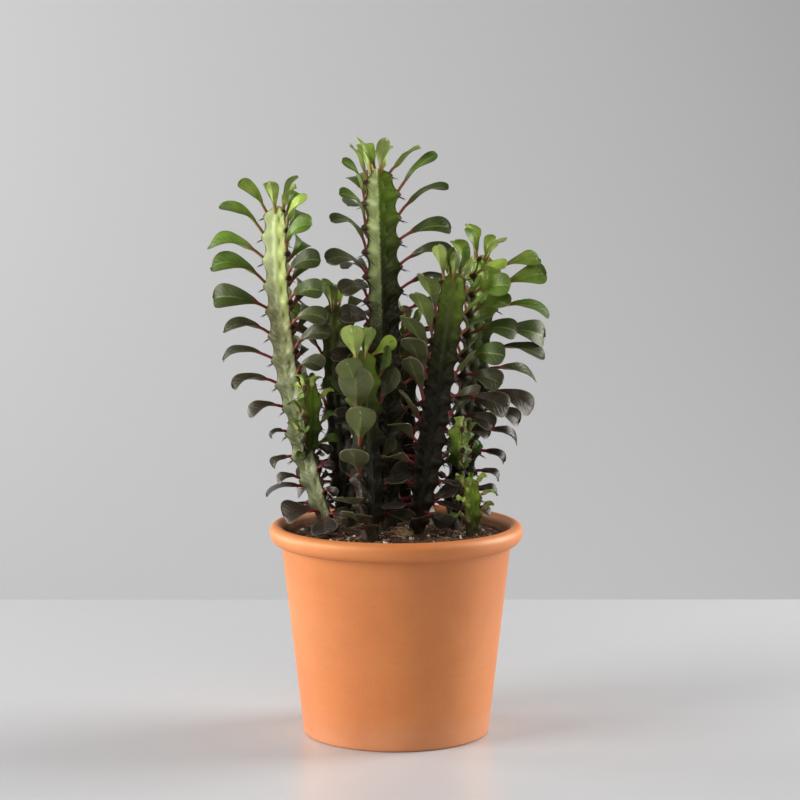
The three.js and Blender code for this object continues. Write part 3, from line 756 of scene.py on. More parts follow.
def tooth_leaf(stem, tooth):
    """Young leaves stand up and are short, those below arch over, and the old ones are small"""
    down, rib, n = tooth["down"], tooth["rib"], tooth["number"]
    grown = YOUNG["length"] + (1 - YOUNG["length"]) * smooth(down / YOUNG["until"])
    ages_over = max(AGEING["over_at_least"], stem["length"] - AGEING["over_length_less"])
    old = float(smooth((down - AGEING["from"]) / ages_over))
    share = 1 if stem["waist"] and down > stem["waist"] else old
    usual = stem["leaf"] * grown * (1 - share) + stem["old"] * share
    length = usual * stem["reach"][rib] * (1 + spread(n, LUCK["length"]))
    rise = RISE["old"] + RISE["young"] * math.exp(-down / RISE["over"]) + stem["lift"][rib] * (1 - old)
    arch = (ARCH["young"] + ARCH["more"] * smooth(down / ARCH["over"])) * stem["arching"]
    return {
        "down": max(TOP_LEAF_DOWN, down - ABOVE_TOOTH),
        "root_in": rib_radius(stem, down) - SUNK * SUNK_SHARE - ROOT_IN,
        "angle": rib_angle(stem, rib), "length": length, "wide": length * stem["wide"],
        "swing": stem["swing"][rib] + spread(n + 3, LUCK["swing"]),
        "rise": rise + spread(n + 7, LUCK["rise"]), "arch": arch + spread(n + 11, LUCK["arch"]),
        "roll": stem["roll"][rib] + spread(n + 5, LUCK["roll"]), "kind": "tooth", "number": n,
    }


def crown_leaf(stem, i):
    """The leaves at the very tip stand almost upright, between the ribs"""
    n = stem["seed"] * 100 + 90 + i
    length = stem["leaf"] * CROWN_SHARE * (1 + spread(n, CROWN_LUCK["length"]))
    return {
        "down": CROWN_DOWN, "root_in": rib_radius(stem, CROWN_DOWN) * CROWN_ROOT,
        "angle": stem["turn"] + RIB_HALF + i * 360 / CROWN_LEAVES + spread(n + 3, CROWN_LUCK["angle"]),
        "length": length, "wide": length * stem["wide"], "swing": 0,
        "rise": CROWN_RISE + spread(n + 5, CROWN_LUCK["rise"]),
        "arch": CROWN_ARCH + spread(n + 7, CROWN_LUCK["arch"]),
        "roll": spread(n + 9, CROWN_LUCK["roll"]), "kind": "crown", "number": n,
    }


def low_leaf(stem, low, i):
    """An old leaf near the soil, placed as listed and not by a tooth"""
    height, angle, length, rise, arch, roll = low
    down = stem["length"] - height
    return {
        "down": down, "root_in": rib_radius(stem, down) * OLD_LEAF_ROOT, "angle": angle, "length": length,
        "wide": length * OLD_LEAF_WIDE, "swing": 0, "rise": rise, "arch": arch, "roll": roll,
        "kind": "low", "number": stem["seed"] * 100 + 80 + i,
    }


def hold_leaf(stem, plan, way):
    """What is needed to place the points of a leaf: its root, its directions and its midrib"""
    swing, lift, shorter = way
    point, along, across, square = frame_at(stem, plan["down"])
    root = point + outward(across, square, plan["angle"]) * plan["root_in"]
    out = outward(across, square, plan["angle"] + plan["swing"] + swing)
    length = plan["length"] * shorter + SUNK
    first = plan["rise"] + plan["arch"] / (1 + ARCH_POWER) + lift
    start = math.radians(min(STEEPEST, first))
    end = math.radians(max(LOWEST, first - plan["arch"]))
    angles = start + (end - start) * ((np.arange(MIDRIB_STEPS) + 0.5) / MIDRIB_STEPS) ** ARCH_POWER
    reach = np.concatenate([[0], np.cumsum(np.cos(angles))]) * length / MIDRIB_STEPS
    rise = np.concatenate([[0], np.cumsum(np.sin(angles))]) * length / MIDRIB_STEPS
    return {
        "root": root, "along": along, "out": out, "side": np.cross(along, out), "start": start,
        "end": end, "reach": reach, "rise": rise, "chord": unit(out * reach[-1] + along * rise[-1]),
        "roll": math.radians(plan["roll"]), "length": length, "wide": plan["wide"] * shorter,
    }


def place_leaf(leaf, share, aside, above):
    """Points of a leaf, in metres, by share along the midrib and distances aside and above"""
    share, aside, above = (np.atleast_1d(np.asarray(v, float)) for v in (share, aside, above))
    stations = np.linspace(0, 1, MIDRIB_STEPS + 1)
    angle = leaf["start"] + (leaf["end"] - leaf["start"]) * share ** ARCH_POWER
    reach = np.interp(share, stations, leaf["reach"]) - above * np.sin(angle)
    rise = np.interp(share, stations, leaf["rise"]) + above * np.cos(angle)
    points = leaf["out"] * reach[:, None] + leaf["along"] * rise[:, None] + leaf["side"] * aside[:, None]
    chord = leaf["chord"]
    turned = points * math.cos(leaf["roll"]) + np.cross(chord, points) * math.sin(leaf["roll"])
    turned += chord * (points @ chord)[:, None] * (1 - math.cos(leaf["roll"]))
    return (turned + leaf["root"]) * MM + POT_AXIS


def blade_half(wide, share):
    """Half the width of a CAD blade, which is widest three quarters of the way along"""
    rest = np.clip((1 - share) / (1 - WIDEST), 0, None)
    return wide / 2 * (share / WIDEST) ** CAD_BLADE["base_power"] * rest ** CAD_BLADE["tip_power"]


def corners_found(leaf, surface):
    """How many corners of a CAD leaf lie on the CAD mesh: its tip, its edges and its midrib"""
    corners = [(1, 0, -0.2)]
    for share in SHORT_LEAF_STATIONS if leaf["length"] < SHORT_LEAF else LEAF_STATIONS:
        stalk = share <= STALK_SHARE
        half = CAD_STALK["half"] if stalk else max(CAD_STALK["half"], blade_half(leaf["wide"], share))
        deep = (CAD_STALK if stalk else CAD_BLADE)["deep"]
        corners += [(share, half, 0), (share, -half, 0), (share, 0, -deep)]
    places = place_leaf(leaf, *zip(*corners))
    return sum(surface.find_nearest(Vector(place), TOUCHING)[0] is not None for place in places)


def grow_leaves(stem):
    """The leaves that a stem has in the CAD model, each held the way it is there"""
    surface = SURFACES[stem["name"]]
    plans = [crown_leaf(stem, i) for i in range(CROWN_LEAVES)]
    plans += [low_leaf(stem, low, i) for i, low in enumerate(stem["low"])]
    plans += [tooth_leaf(stem, tooth) for tooth in stem["teeth"]]
    leaves = []
    for plan in plans:
        tries = [hold_leaf(stem, plan, way) for way in WAYS]
        found = [corners_found(leaf, surface) for leaf in tries]
        best = int(np.argmax(found))
        if found[best] >= ENOUGH_CORNERS:
            leaves.append({**plan, **tries[best]})
    return leaves, len(plans)


def surface_of(name):
    """The CAD mesh of a node, ready for the question how near a place is to it"""
    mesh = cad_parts[name].data
    points = [vertex.co for vertex in mesh.vertices]
    return BVHTree.FromPolygons(points, [face.vertices[:] for face in mesh.polygons])


SURFACES = {name: surface_of(name) for name in STEM_NAMES}
for stem in STEMS:
    stem["leaves"], planned = grow_leaves(stem)
    print(stem["name"], len(stem["leaves"]), "leaves of", planned)

# %% [markdown]
# The skin of a stem is one flat grid that is wrapped round the axis. Its columns stand closer together
# at the rib edges, where the form is sharp, and nine rings fall between two teeth. Each point also
# keeps a few numbers for the material: how near the rib edge it is, where it lies across its face from
# one rib to the next, how far down the stem and how high over the soil, whether it is on a side
# branch, how near a tooth, and a place on the unrolled face along which pale streaks run up and out.

# %% Stem skins
COLUMNS_PER_RIB = 24
RINGS_PER_TOOTH = 9
MOST_TEETH = 60
TO_THE_EDGE = 1.5
RIDGE = 4.5
SHIELD = 1.7
SHIELD_LONG = 2.4
SWELLING = 0.2
FOOT_SHARE = 0.42
ROUND_TO = 2
RIBBED_OVER = 14
BELOW_SOIL = 6
BRANCH_HEIGHT = 40
TIP_CLOSES = 0.8
STREAK_SLANT = 0.8
SEAM = 1e-6


def points_of(piece):
    flat = np.empty(3 * len(piece.data.vertices))
    piece.data.vertices.foreach_get("co", flat)
    return flat.reshape(-1, 3)


def set_points(piece, points):
    piece.data.vertices.foreach_set("co", np.ascontiguousarray(points, float).ravel())
    piece.data.update()


def set_value(piece, name, values):
    layer = piece.data.attributes.new(name, "FLOAT", "POINT")
    layer.data.foreach_set("value", np.broadcast_to(values, len(piece.data.vertices)).astype(float))


def set_vector(piece, name, vectors):
    layer = piece.data.attributes.new(name, "FLOAT_VECTOR", "POINT")
    layer.data.foreach_set("vector", np.ascontiguousarray(vectors, float).ravel())


def unit_grid(name, columns, rows):
    """A flat grid from 0 to 1 both ways, with its columns along X"""
    deselect()
    middle = (0.5, 0.5, 0)
    bpy.ops.mesh.primitive_grid_add(x_subdivisions=columns, y_subdivisions=rows, size=1, location=middle)
    piece = bpy.context.object
    piece.name = name
    apply_place()
    return piece


def merge(pieces, name, gap=1e-5):
    """Joins pieces into one and merges the points that coincide"""
    deselect()
    for piece in pieces:
        piece.select_set(True)
    bpy.context.view_layer.objects.active = pieces[0]
    if len(pieces) > 1:
        bpy.ops.object.join()
    whole = bpy.context.view_layer.objects.active
    whole.name = name
    whole.data.name = name
    bpy.ops.object.mode_set(mode="EDIT")
    bpy.ops.mesh.select_all(action="SELECT")
    bpy.ops.mesh.remove_doubles(threshold=gap)
    bpy.ops.mesh.normals_make_consistent(inside=False)
    bpy.ops.object.mode_set(mode="OBJECT")
    return whole


def count_at(stem, down):
    """Tooth count at a distance down from the tip"""
    counts = np.linspace(0, MOST_TEETH, MOST_TEETH * 100 + 1)
    return float(np.interp(down, down_to(stem, counts), counts))


def skin_radius(stem, down, part, ridge):
    """Ribs with a notch between two teeth, flanks that swell beside each tooth, and a round foot"""
    reach = rib_radius(stem, down)
    edge = reach * (1 - SCALLOP * (1 - (2 * part - 1) ** 2))
    radius = VALLEY * reach + (edge - VALLEY * reach) * ridge
    radius += SWELLING * reach * 4 * ridge * (1 - ridge) * np.cos(2 * math.pi * part)
    if is_rooted(stem):
        ribbed = smooth((stem["length"] - down - ROUND_TO) / RIBBED_OVER)
        radius = ribbed * radius + (1 - ribbed) * FOOT_SHARE * stem["rib"]
    return radius * np.sqrt(np.minimum(1, down / TIP_CLOSES))


def wrap_skin(stem):
    """A grid wrapped round a stem, with its columns down the stem and its rows round it"""
    last = count_at(stem, stem["length"] + (BELOW_SOIL if is_rooted(stem) else 0))
    rings = math.ceil(last * RINGS_PER_TOOTH)
    piece = unit_grid(f"skin_{stem['number']}", RIBS * COLUMNS_PER_RIB, rings)
    u, v = points_of(piece)[:, :2].T
    count = v * last
    down = down_to(stem, count)
    rib = np.floor(u * RIBS + SEAM) % RIBS
    side = 2 * ((u * RIBS + SEAM) % 1) - 1
    off = RIB_HALF * np.sign(side) * np.abs(side) ** TO_THE_EDGE
    phase = rib_phase(stem, rib)
    from_tooth = down - down_to(stem, phase + np.maximum(0, np.round(count - phase)))
    at_tooth = np.exp(-((from_tooth / SHIELD_LONG) ** 2))
    ridge = ((1 + np.cos(np.radians(3 * off))) / 2) ** (RIDGE - SHIELD * at_tooth)
    radius = skin_radius(stem, down, (count - phase + 1) % 1, ridge)
    height = stem["length"] - down
    point, along, across, square = frame_at(stem, np.minimum(down, stem["length"]))
    point = point - along * np.maximum(0, -height)[:, None]
    place = point + outward(across, square, rib_angle(stem, rib) + off) * radius[:, None]
    set_points(piece, place * MM + POT_AXIS)
    from_valley = np.radians(RIB_HALF - np.abs(off)) * np.maximum(radius, 4)
    slant = down + STREAK_SLANT * from_valley
    set_value(piece, "edge", np.sqrt(ridge))
    set_value(piece, "flank", np.sign(off) * (np.abs(off) / RIB_HALF - 1))
    set_value(piece, "down", down)
    set_value(piece, "branch", 0.0 if is_rooted(stem) else 1.0)
    set_value(piece, "height", height if is_rooted(stem) else height + BRANCH_HEIGHT)
    set_value(piece, "tooth", at_tooth * ridge)
    set_vector(piece, "face", np.stack([from_valley, slant, 40 * rib + 150 * stem["number"]], axis=1))
    return piece


# %% [markdown]
# Euphorbia skin is waxy and marbled. Young growth is bright and turns deep green below, and old skin
# goes dark or chalky, and corky near the soil. A pale band runs down each face, at its own place
# between two ribs, feathered by slanting streaks. It is partly the skin's pale marking and partly
# painted light: the brighter flank that a lamp falls on. Side branches have two greens of their own.
# The rib edge has a thin dark, horny line, with a brown shield at each tooth. All stems share this, so
# it is one node group, and each stem has its own material with its own colours and lengths.

# %% Group for the skin
SKIN_GIVEN = {
    "Crown": "Color", "Middle": "Color", "Old": "Color", "Band": "Color", "Reach": "Float",
    "Band amount": "Float", "Band place": "Float", "Band width": "Float", "Band reach": "Float",
    "Chalk": "Float",
}
HORN = screen(58, 34, 24)
SHIELD_COLOUR = screen(50, 33, 24)
CORK = screen(54, 44, 31)
FLECK = screen(166, 158, 118)
CHALK = screen(206, 208, 184)
BRANCH_TIP = screen(110, 134, 46)
BRANCH_BELOW = screen(58, 72, 28)


def grown_green(group, given, own, down, tone):
    """Bright at the tip, deep green below and dull on old skin, or the greens of a side branch"""
    aged = math_node(group, "DIVIDE", down, given["Reach"])
    aged = plus(group, aged, between(group, tone, -0.15, 0.15))
    young = blend(group, fade(group, aged, 0.12, 0.6), given["Crown"], given["Middle"])
    green = blend(group, fade(group, aged, 0.5, 1.0), young, given["Old"])
    branch = blend(group, fade(group, down, 4, 30), BRANCH_TIP, BRANCH_BELOW)
    return brighten(group, blend(group, own, branch, green), between(group, tone, 0.62, 1.38))


def in_pale_lit_band(group, given, down, streak, fine):
    """How much of the pale band shows, which is partly painted light on one flank, by how far it is
    aside and down, both feathered by noise
    """
    aside = math_node(group, "SUBTRACT", attribute(group, "flank"), given["Band place"])
    aside = math_node(group, "DIVIDE", math_node(group, "ABSOLUTE", aside), given["Band width"])
    aside = plus(group, aside, between(group, streak, -0.6, 0.6))
    below = math_node(group, "DIVIDE", down, given["Band reach"])
    below = plus(group, below, between(group, fine, -0.3, 0.3))
    in_width = times(group, fade(group, aside, 1.1, 0.5), given["Band amount"])
    return times(group, in_width, fade(group, below, 1.0, 0.3))


def make_skin_group():
    made = {"Colour": "Color", "Roughness": "Float", "Height": "Float"}
    group = new_group("euphorbia_skin", SKIN_GIVEN, made)
    given = add(group, "NodeGroupInput").outputs
    face = attribute(group, "face", "Vector")
    down = attribute(group, "down")
    tone = noise_node(group, scaled(group, face, (0.10, 0.07, 0.1)), 1.0, 4.0, 0.6)
    fine = noise_node(group, scaled(group, face, (0.9, 0.9, 0.9)), 1.0, 3.0, 0.6)
    streak = noise_node(group, scaled(group, face, (0.09, 0.55, 0.1)), 1.0, 3.0, 0.6)
    wrinkle = noise_node(group, scaled(group, face, (0.14, 0.36, 0.1)), 1.0, 5.0, 0.62)
    own = math_node(group, "SUBTRACT", 1.0, attribute(group, "branch"))
    in_chalk = times(group, times(group, fade(group, wrinkle, 0.42, 0.72), own), given["Chalk"])
    # The pale band is partly painted light: the brighter flank that faces a lamp
    on_pale_lit_band = times(group, in_pale_lit_band(group, given, down, streak, fine), own)
    in_fleck = times(group, fade(group, fine, 0.66, 0.74), 0.35)
    on_edge = times(group, fade(group, attribute(group, "edge"), 0.955, 0.985), 0.8)
    on_shield = fade(group, attribute(group, "tooth"), 0.35, 0.8)
    over_soil = plus(group, attribute(group, "height"), between(group, fine, -14, 14))
    in_cork = times(group, fade(group, over_soil, 30, 5), 0.8)
    skin = grown_green(group, given, own, down, tone)
    for amount, colour in (
        (in_chalk, CHALK), (on_pale_lit_band, given["Band"]), (in_fleck, FLECK), (on_edge, HORN),
        (on_shield, SHIELD_COLOUR), (in_cork, CORK),
    ):
        skin = blend(group, amount, skin, colour)
    rough = plus(group, between(group, tone, 0.34, 0.5), times(group, in_cork, 0.3))
    relief = plus(group, wrinkle, times(group, fine, 0.4))
    add(group, "NodeGroupOutput", {"Colour": skin, "Roughness": rough, "Height": relief})
    return group


SKIN_GROUP = make_skin_group()
print("group", SKIN_GROUP.name, "with", len(SKIN_GROUP.nodes), "nodes")

# %% [markdown]
# The tall left stem and the tallest one show their faces in the photograph: the first is chalky all
# the way down, the second has a broad pale band. The rest have only a faint band and little chalk, so
# they share those values and differ in their greens.

# %% Skins
FAINT = {"Band place": -0.2, "Band width": 0.3, "Band reach": 80, "Chalk": 0.04}
# The bright bands of the first two stems are partly painted light, laid on the flank that the lamps light
SKINS = {
    "stem_left_tall": {
        "Crown": screen(202, 214, 150), "Middle": screen(106, 102, 64), "Old": screen(124, 130, 88),
        "Band": screen(166, 178, 96), "Reach": 135, "Band amount": 0.8,
        "Band place": 0.5, "Band width": 0.55, "Band reach": 110, "Chalk": 0.42,
    },
    "stem_centre_tallest": {
        "Crown": screen(104, 132, 34), "Middle": screen(60, 74, 18), "Old": screen(36, 31, 14),
        "Band": screen(216, 230, 156), "Reach": 95, "Band amount": 0.9,
        "Band place": -0.58, "Band width": 0.4, "Band reach": 125, "Chalk": 0.1,
    },
    "stem_right_back": {
        "Crown": screen(138, 164, 56), "Middle": screen(62, 78, 20), "Old": screen(33, 31, 14),
        "Band": screen(116, 132, 78), "Reach": 90, "Band amount": 0.5, **FAINT,
    },
    "stem_right_centre": {
        "Crown": screen(112, 132, 46), "Middle": screen(44, 52, 15), "Old": screen(26, 24, 12),
        "Band": screen(104, 112, 72), "Reach": 80, "Band amount": 0.45, **FAINT,
    },
    "stem_front_short": {
        "Crown": screen(118, 142, 48), "Middle": screen(46, 54, 17), "Old": screen(26, 24, 13),
        "Band": screen(104, 112, 70), "Reach": 70, "Band amount": 0.5, **FAINT,
    },
    "offshoot_right": {
        "Crown": screen(120, 146, 44), "Middle": screen(78, 98, 26), "Old": screen(60, 68, 26),
        "Band": screen(116, 132, 70), "Reach": 60, "Band amount": 0.4, **FAINT,
    },
    "stem_back_left": {
        "Crown": screen(88, 98, 40), "Middle": screen(38, 42, 17), "Old": screen(25, 21, 12),
        "Band": screen(80, 86, 56), "Reach": 80, "Band amount": 0.4, **FAINT,
    },
    "stem_back_centre": {
        "Crown": screen(92, 104, 42), "Middle": screen(38, 43, 17), "Old": screen(25, 21, 12),
        "Band": screen(80, 88, 56), "Reach": 80, "Band amount": 0.4, **FAINT,
    },
}


def skin_material(stem_name):
    material, tree, shader = new_material(f"skin_of_{stem_name}")
    node = add(tree, "ShaderNodeGroup", node_tree=SKIN_GROUP)
    connect(tree, node, SKINS[stem_name])
    connect(tree, shader, {
        "Base Color": node.outputs["Colour"], "Roughness": node.outputs["Roughness"],
        "Specular IOR Level": 0.2, "Specular Tint": (1, 0.95, 0.75, 1),
        "Subsurface Weight": 0.08, "Subsurface Radius": (0.003, 0.004, 0.001),
    })
    set_bump(tree, shader, node.outputs["Height"], 0.00035)
    return material


for name in STEM_NAMES:
    skin = merge([wrap_skin(stem) for stem in bodies_of(name)], f"{name}_skin", 2e-6)
    finish_piece(skin, skin_material(name), 60)
    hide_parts(name)

# %% [markdown]
# One leaf is modelled, and every leaf on the plant is a copy of it. The master is a flat grid made
# solid, with enough rows and columns for a leaf that folds, waves and curls.

# %% The master leaf
LEAF_ALONG = 20
LEAF_ACROSS = 8


def make_master_leaf():
    piece = unit_grid("master_leaf", LEAF_ALONG, LEAF_ACROSS)
    thick = piece.modifiers.new("thick", "SOLIDIFY")
    thick.thickness = 1
    thick.offset = 0
    bpy.ops.object.modifier_apply(modifier="thick")
    return piece


MASTER_LEAF = make_master_leaf()
print("master leaf", len(MASTER_LEAF.data.polygons), "faces")

# %% [markdown]
# A leaf's colour follows its age, and its age follows how far down the stem it sits. Near the tip
# leaves are fresh green. Below that they turn deep green, then grey-green and at last purple-brown.
# How fast that goes differs from stem to stem, so each has two distances: where leaves are fully
# green, and where they have gone dull.

# %% How old a leaf is
GREEN_AND_DULL = {
    "stem_left_tall": (80, 200), "stem_centre_tallest": (60, 130), "stem_right_back": (75, 125),
    "stem_right_centre": (70, 170), "stem_front_short": (40, 200), "offshoot_right": (60, 200),
    "stem_back_left": (20, 70), "stem_back_centre": (20, 70),
}
AGES = (0.0, 0.22, 0.5, 0.95)
FRESH_SHARE = 0.35
AGE_LUCK = 0.11
LOW_LEAF_AGE = 0.9
LOW_LEAF_LUCK = 0.1


def age_of(stem, leaf):
    green, dull = GREEN_AND_DULL[stem["name"]]
    if leaf["kind"] == "low":
        return LOW_LEAF_AGE + spread(leaf["number"] + 31, LOW_LEAF_LUCK)
    at = np.interp(leaf["down"], (0, green * FRESH_SHARE, green, dull), AGES)
    return float(np.clip(at + spread(leaf["number"] + 31, AGE_LUCK), 0, 1))


for name in STEM_NAMES:
    ages = [age_of(stem, leaf) for stem in bodies_of(name) for leaf in stem["leaves"]]
    print(name, "leaves of age", round(min(ages), 2), "to", round(max(ages), 2))

# %% [markdown]
# A copy of the master is shaped by where its points are on the leaf. The stalk is drawn in to a round
# rod. The blade is a little fuller than the CAD's, folds along its midrib, waves at its edges, and
# curls down at its end. Last, the whole leaf is bent along the midrib that growth gave it. Two stems
# differ in the photograph: the leaves of the short front stem, and less so those of the one right of
# the middle, stand upright like shingles, with a shallow notch in the end. Their ends curl up here
# instead of down, and the crown leaves of the front stem are narrower.

# %% How a leaf is shaped
TIP_CROWDING = 1.25
RIB_CROWDING = 1.4
STALK_ENDS = (0.18, 0.36)
STALK_HALF = 1.08
STALK_ROUND = 0.98
ROUNDED_TO = 0.9
FULLER = 1.13
BASE_POWER = 2.15
TIP_POWER = {"crown": 0.62, "tooth": 0.5, "low": 0.45}
NARROW_CROWN = 0.64
HALF_THICK = 0.16
VEIN_GROOVE = 0.14
VEIN_RIDGE = 0.5
VEIN_HALF = 1.0
FOLD_ROOT = 2.3
FOLD_TIP = 1.3
WAVE = 0.75
WAVES_ALONG = 1.3
DROOP = 0.5
TIP_CURL = 2.2
CURLED_STEMS = {"stem_front_short": -8, "stem_right_centre": -4}
CROWN_CURL = 0.45
CURL_FROM = 0.55
CURL_OVER = 0.45
NOTCHES = {"crown": 0.0, "tooth": 0.012, "low": 0.05}
NOTCHED_STEMS = {"stem_front_short": 0.12, "stem_right_centre": 0.07}
SICKLE = 0.05
APART = 37.0


def copy_of(master, name):
    """A copy of a piece, with its own mesh"""
    piece = master.copy()
    piece.data = master.data.copy()
    piece.name = name
    bpy.context.scene.collection.objects.link(piece)
    return piece


def in_front_crown(stem, leaf):
    return leaf["kind"] == "crown" and stem["name"] == "stem_front_short"


def half_width(stem, leaf, along):
    """Half the width along a leaf, from the thin stalk to the rounded end"""
    wide = leaf["wide"] * (NARROW_CROWN if in_front_crown(stem, leaf) else 1)
    rest = np.clip((1 - along) / (1 - WIDEST), 0, None)
    blade = FULLER * wide / 2 * (along / WIDEST) ** BASE_POWER * rest ** TIP_POWER[leaf["kind"]]
    return np.where(along < ROUNDED_TO, (blade ** 4 + STALK_HALF ** 4) ** 0.25, blade)


def blade_height(leaf, along, across, aside, upper):
    """Height of the blade's two faces, with its midrib, fold, waves and drooping end"""
    n = leaf["number"]
    vein = np.exp(-((aside / VEIN_HALF) ** 2))
    below = -HALF_THICK - VEIN_RIDGE * vein * (1 - 0.6 * along)
    sheet = np.where(upper > 0, HALF_THICK - VEIN_GROOVE * vein, below)
    fold = FOLD_ROOT - (FOLD_ROOT - FOLD_TIP) * smooth((along - 0.3) / 0.7)
    fold = fold * (1 + spread(n + 41, 0.5))
    wave = np.sin(2 * math.pi * (WAVES_ALONG * along + draw(n + 43)) + across) * across ** 2
    sheet += -fold * (1 - np.abs(across) ** 1.2) + WAVE * wave * smooth((along - 0.4) / 0.3)
    return sheet - DROOP * across ** 2 * smooth((along - 0.75) / 0.25)


def notch_of(stem, leaf, along, across):
    """How far the middle of the leaf's end is drawn back, as a share of the length"""
    notch = NOTCHES[leaf["kind"]]
    if leaf["kind"] != "crown":
        notch += NOTCHED_STEMS.get(stem["name"], 0) * (0.5 + draw(leaf["number"] + 47))
    return notch * np.clip(1 - np.abs(across) ** 0.8, 0, 1) ** 2 * smooth((along - 0.8) / 0.2)


def curl_of(stem, leaf, along):
    """How far the end of a leaf curls down, or up where it is below zero"""
    curl = CURLED_STEMS.get(stem["name"], TIP_CURL) * (CROWN_CURL if in_front_crown(stem, leaf) else 1)
    curl *= 0.6 + 0.8 * draw(leaf["number"] + 61)
    return curl * np.clip((along - CURL_FROM) / CURL_OVER, 0, None) ** 2


def shape_leaf(stem, leaf, name):
    piece = copy_of(MASTER_LEAF, name)
    x, y, upper = points_of(piece).T
    n = leaf["number"]
    along = 1 - (1 - x) ** TIP_CROWDING
    across = np.sign(y - 0.5) * np.abs(2 * y - 1) ** RIB_CROWDING
    aside = across * half_width(stem, leaf, along)
    back = notch_of(stem, leaf, along, across)
    sheet = blade_height(leaf, along, across, aside, upper) - curl_of(stem, leaf, along - back)
    rod = -STALK_ROUND + np.sign(upper) * STALK_ROUND * np.sqrt(1 - np.minimum(1, across ** 2))
    stalk = 1 - smooth((along - STALK_ENDS[0]) / (STALK_ENDS[1] - STALK_ENDS[0]))
    above = sheet * (1 - stalk) + rod * stalk
    bow = spread(n + 59, SICKLE) * leaf["length"] * smooth(along)
    set_points(piece, place_leaf(leaf, along - back, aside + bow, above))
    set_value(piece, "along", along)
    set_value(piece, "across", across)
    set_value(piece, "upper", (upper > 0).astype(float))
    set_value(piece, "age", age_of(stem, leaf))
    set_value(piece, "luck", draw(n + 53))
    own_place = np.full(len(x), APART * draw(n))
    set_vector(piece, "blade", np.stack([along * leaf["length"], aside, own_place], axis=1))
    return piece


print("longest leaf", round(max(leaf["length"] for stem in STEMS for leaf in stem["leaves"])), "mm")

# %% [markdown]
# The blade is glossy and a little leathery. Its midrib is red near the stalk and paler beyond, the
# side veins are faint, and the thin margin is red-brown on a young leaf and pale on an old one. The
# stalk is burgundy, and the underside is paler and duller. All of that is drawn from each leaf's own
# coordinates, so the pattern follows the leaf however it bends.

# %% Leaf material
SIDE_VEIN = screen(150, 162, 112)
RED_STALK = screen(138, 40, 50)
YOUNG_RIB, OLD_RIB = screen(170, 186, 100), screen(88, 76, 62)
YOUNG_MARGIN, OLD_MARGIN = screen(88, 48, 38), screen(134, 132, 98)
TOP_COLOURS = [
    (0.00, screen(160, 184, 72)),
    (0.18, screen(92, 120, 40)),
    (0.40, screen(60, 76, 32)),
    (0.54, screen(64, 68, 42)),
    (0.74, screen(56, 50, 38)),
    (1.00, screen(50, 40, 38)),
]
UNDERSIDE_COLOURS = [
    (0.00, screen(160, 178, 92)),
    (0.35, screen(94, 108, 56)),
    (0.65, screen(72, 74, 48)),
    (1.00, screen(66, 50, 44)),
]


def leaf_green(tree, upper, age, along, patches):
    """The colour of the blade by its age, which is a little more towards the end"""
    aged = plus(tree, age, between(tree, patches, -0.13, 0.13))
    aged = plus(tree, aged, times(tree, fade(tree, along, 0.6, 1.0), 0.07))
    colour = blend(tree, upper, ramp(tree, aged, UNDERSIDE_COLOURS), ramp(tree, aged, TOP_COLOURS))
    return brighten(tree, colour, between(tree, attribute(tree, "luck"), 0.76, 1.24))


def side_veins(tree, along, aside, patches, on_blade):
    """Lines that slant out from the midrib, a little unevenly"""
    slant = math_node(tree, "SUBTRACT", times(tree, along, 62.0), times(tree, aside, 13.0))
    vein = math_node(tree, "SINE", plus(tree, slant, times(tree, patches, 4.0)))
    return times(tree, times(tree, fade(tree, vein, 0.55, 1.0), on_blade), fade(tree, aside, 1.0, 0.5))


def leaf_material():
    material, tree, shader = new_material("euphorbia_leaf")
    blade = attribute(tree, "blade", "Vector")
    along, upper, age = (attribute(tree, name) for name in ("along", "upper", "age"))
    aside = math_node(tree, "ABSOLUTE", attribute(tree, "across"))
    patches = noise_node(tree, scaled(tree, blade, (0.13, 0.13, 1)), 1.0, 3.0, 0.6)
    fine = noise_node(tree, scaled(tree, blade, (1.1, 1.1, 1)), 1.0, 3.0, 0.6)
    on_blade = fade(tree, along, 0.3, 0.5)
    veins = side_veins(tree, along, aside, patches, on_blade)
    rib = times(tree, fade(tree, aside, 0.1, 0.02), on_blade)
    margin = times(tree, fade(tree, aside, 0.88, 0.98), on_blade)
    red_rib = times(tree, rib, fade(tree, along, 0.7, 0.35))
    red = math_node(tree, "MAXIMUM", fade(tree, along, 0.4, 0.22), red_rib)
    red = times(tree, red, between(tree, age, 0.6, 1.0))
    colour = leaf_green(tree, upper, age, along, patches)
    for amount, most, shade in (
        (veins, 0.03, SIDE_VEIN),
        (rib, 0.3, blend(tree, fade(tree, age, 0.3, 0.8), YOUNG_RIB, OLD_RIB)),
        (margin, 0.5, blend(tree, fade(tree, age, 0.35, 0.65), YOUNG_MARGIN, OLD_MARGIN)),
        (red, 0.95, RED_STALK),
    ):
        colour = blend(tree, times(tree, amount, most), colour, shade)
    rough = plus(tree, between(tree, patches, 0.3, 0.5), times(tree, upper, -0.06))
    connect(tree, shader, {
        "Base Color": colour, "Roughness": rough,
        "Specular IOR Level": 0.34, "Specular Tint": (1, 0.95, 0.82, 1),
        "Subsurface Weight": 0.1, "Subsurface Radius": (0.002, 0.003, 0.0006),
    })
    set_bump(tree, shader, plus(tree, times(tree, veins, -0.4), times(tree, fine, 0.5)), 0.00025)
    return material


LEAF_MATERIAL = leaf_material()
for name in STEM_NAMES:
    leaves = []
    for stem in bodies_of(name):
        leaves += [shape_leaf(stem, leaf, f"leaf_{i}") for i, leaf in enumerate(stem["leaves"])]
    foliage = merge(leaves, f"{name}_leaves")
    finish_piece(foliage, LEAF_MATERIAL, 50)
    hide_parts(name)

# %% [markdown]
# Each tooth has two thin spines below its leaf, splayed to the sides and pointing slightly down. One
# spine is raised from a small six-sided ring and every other is a copy, bent a little downwards.

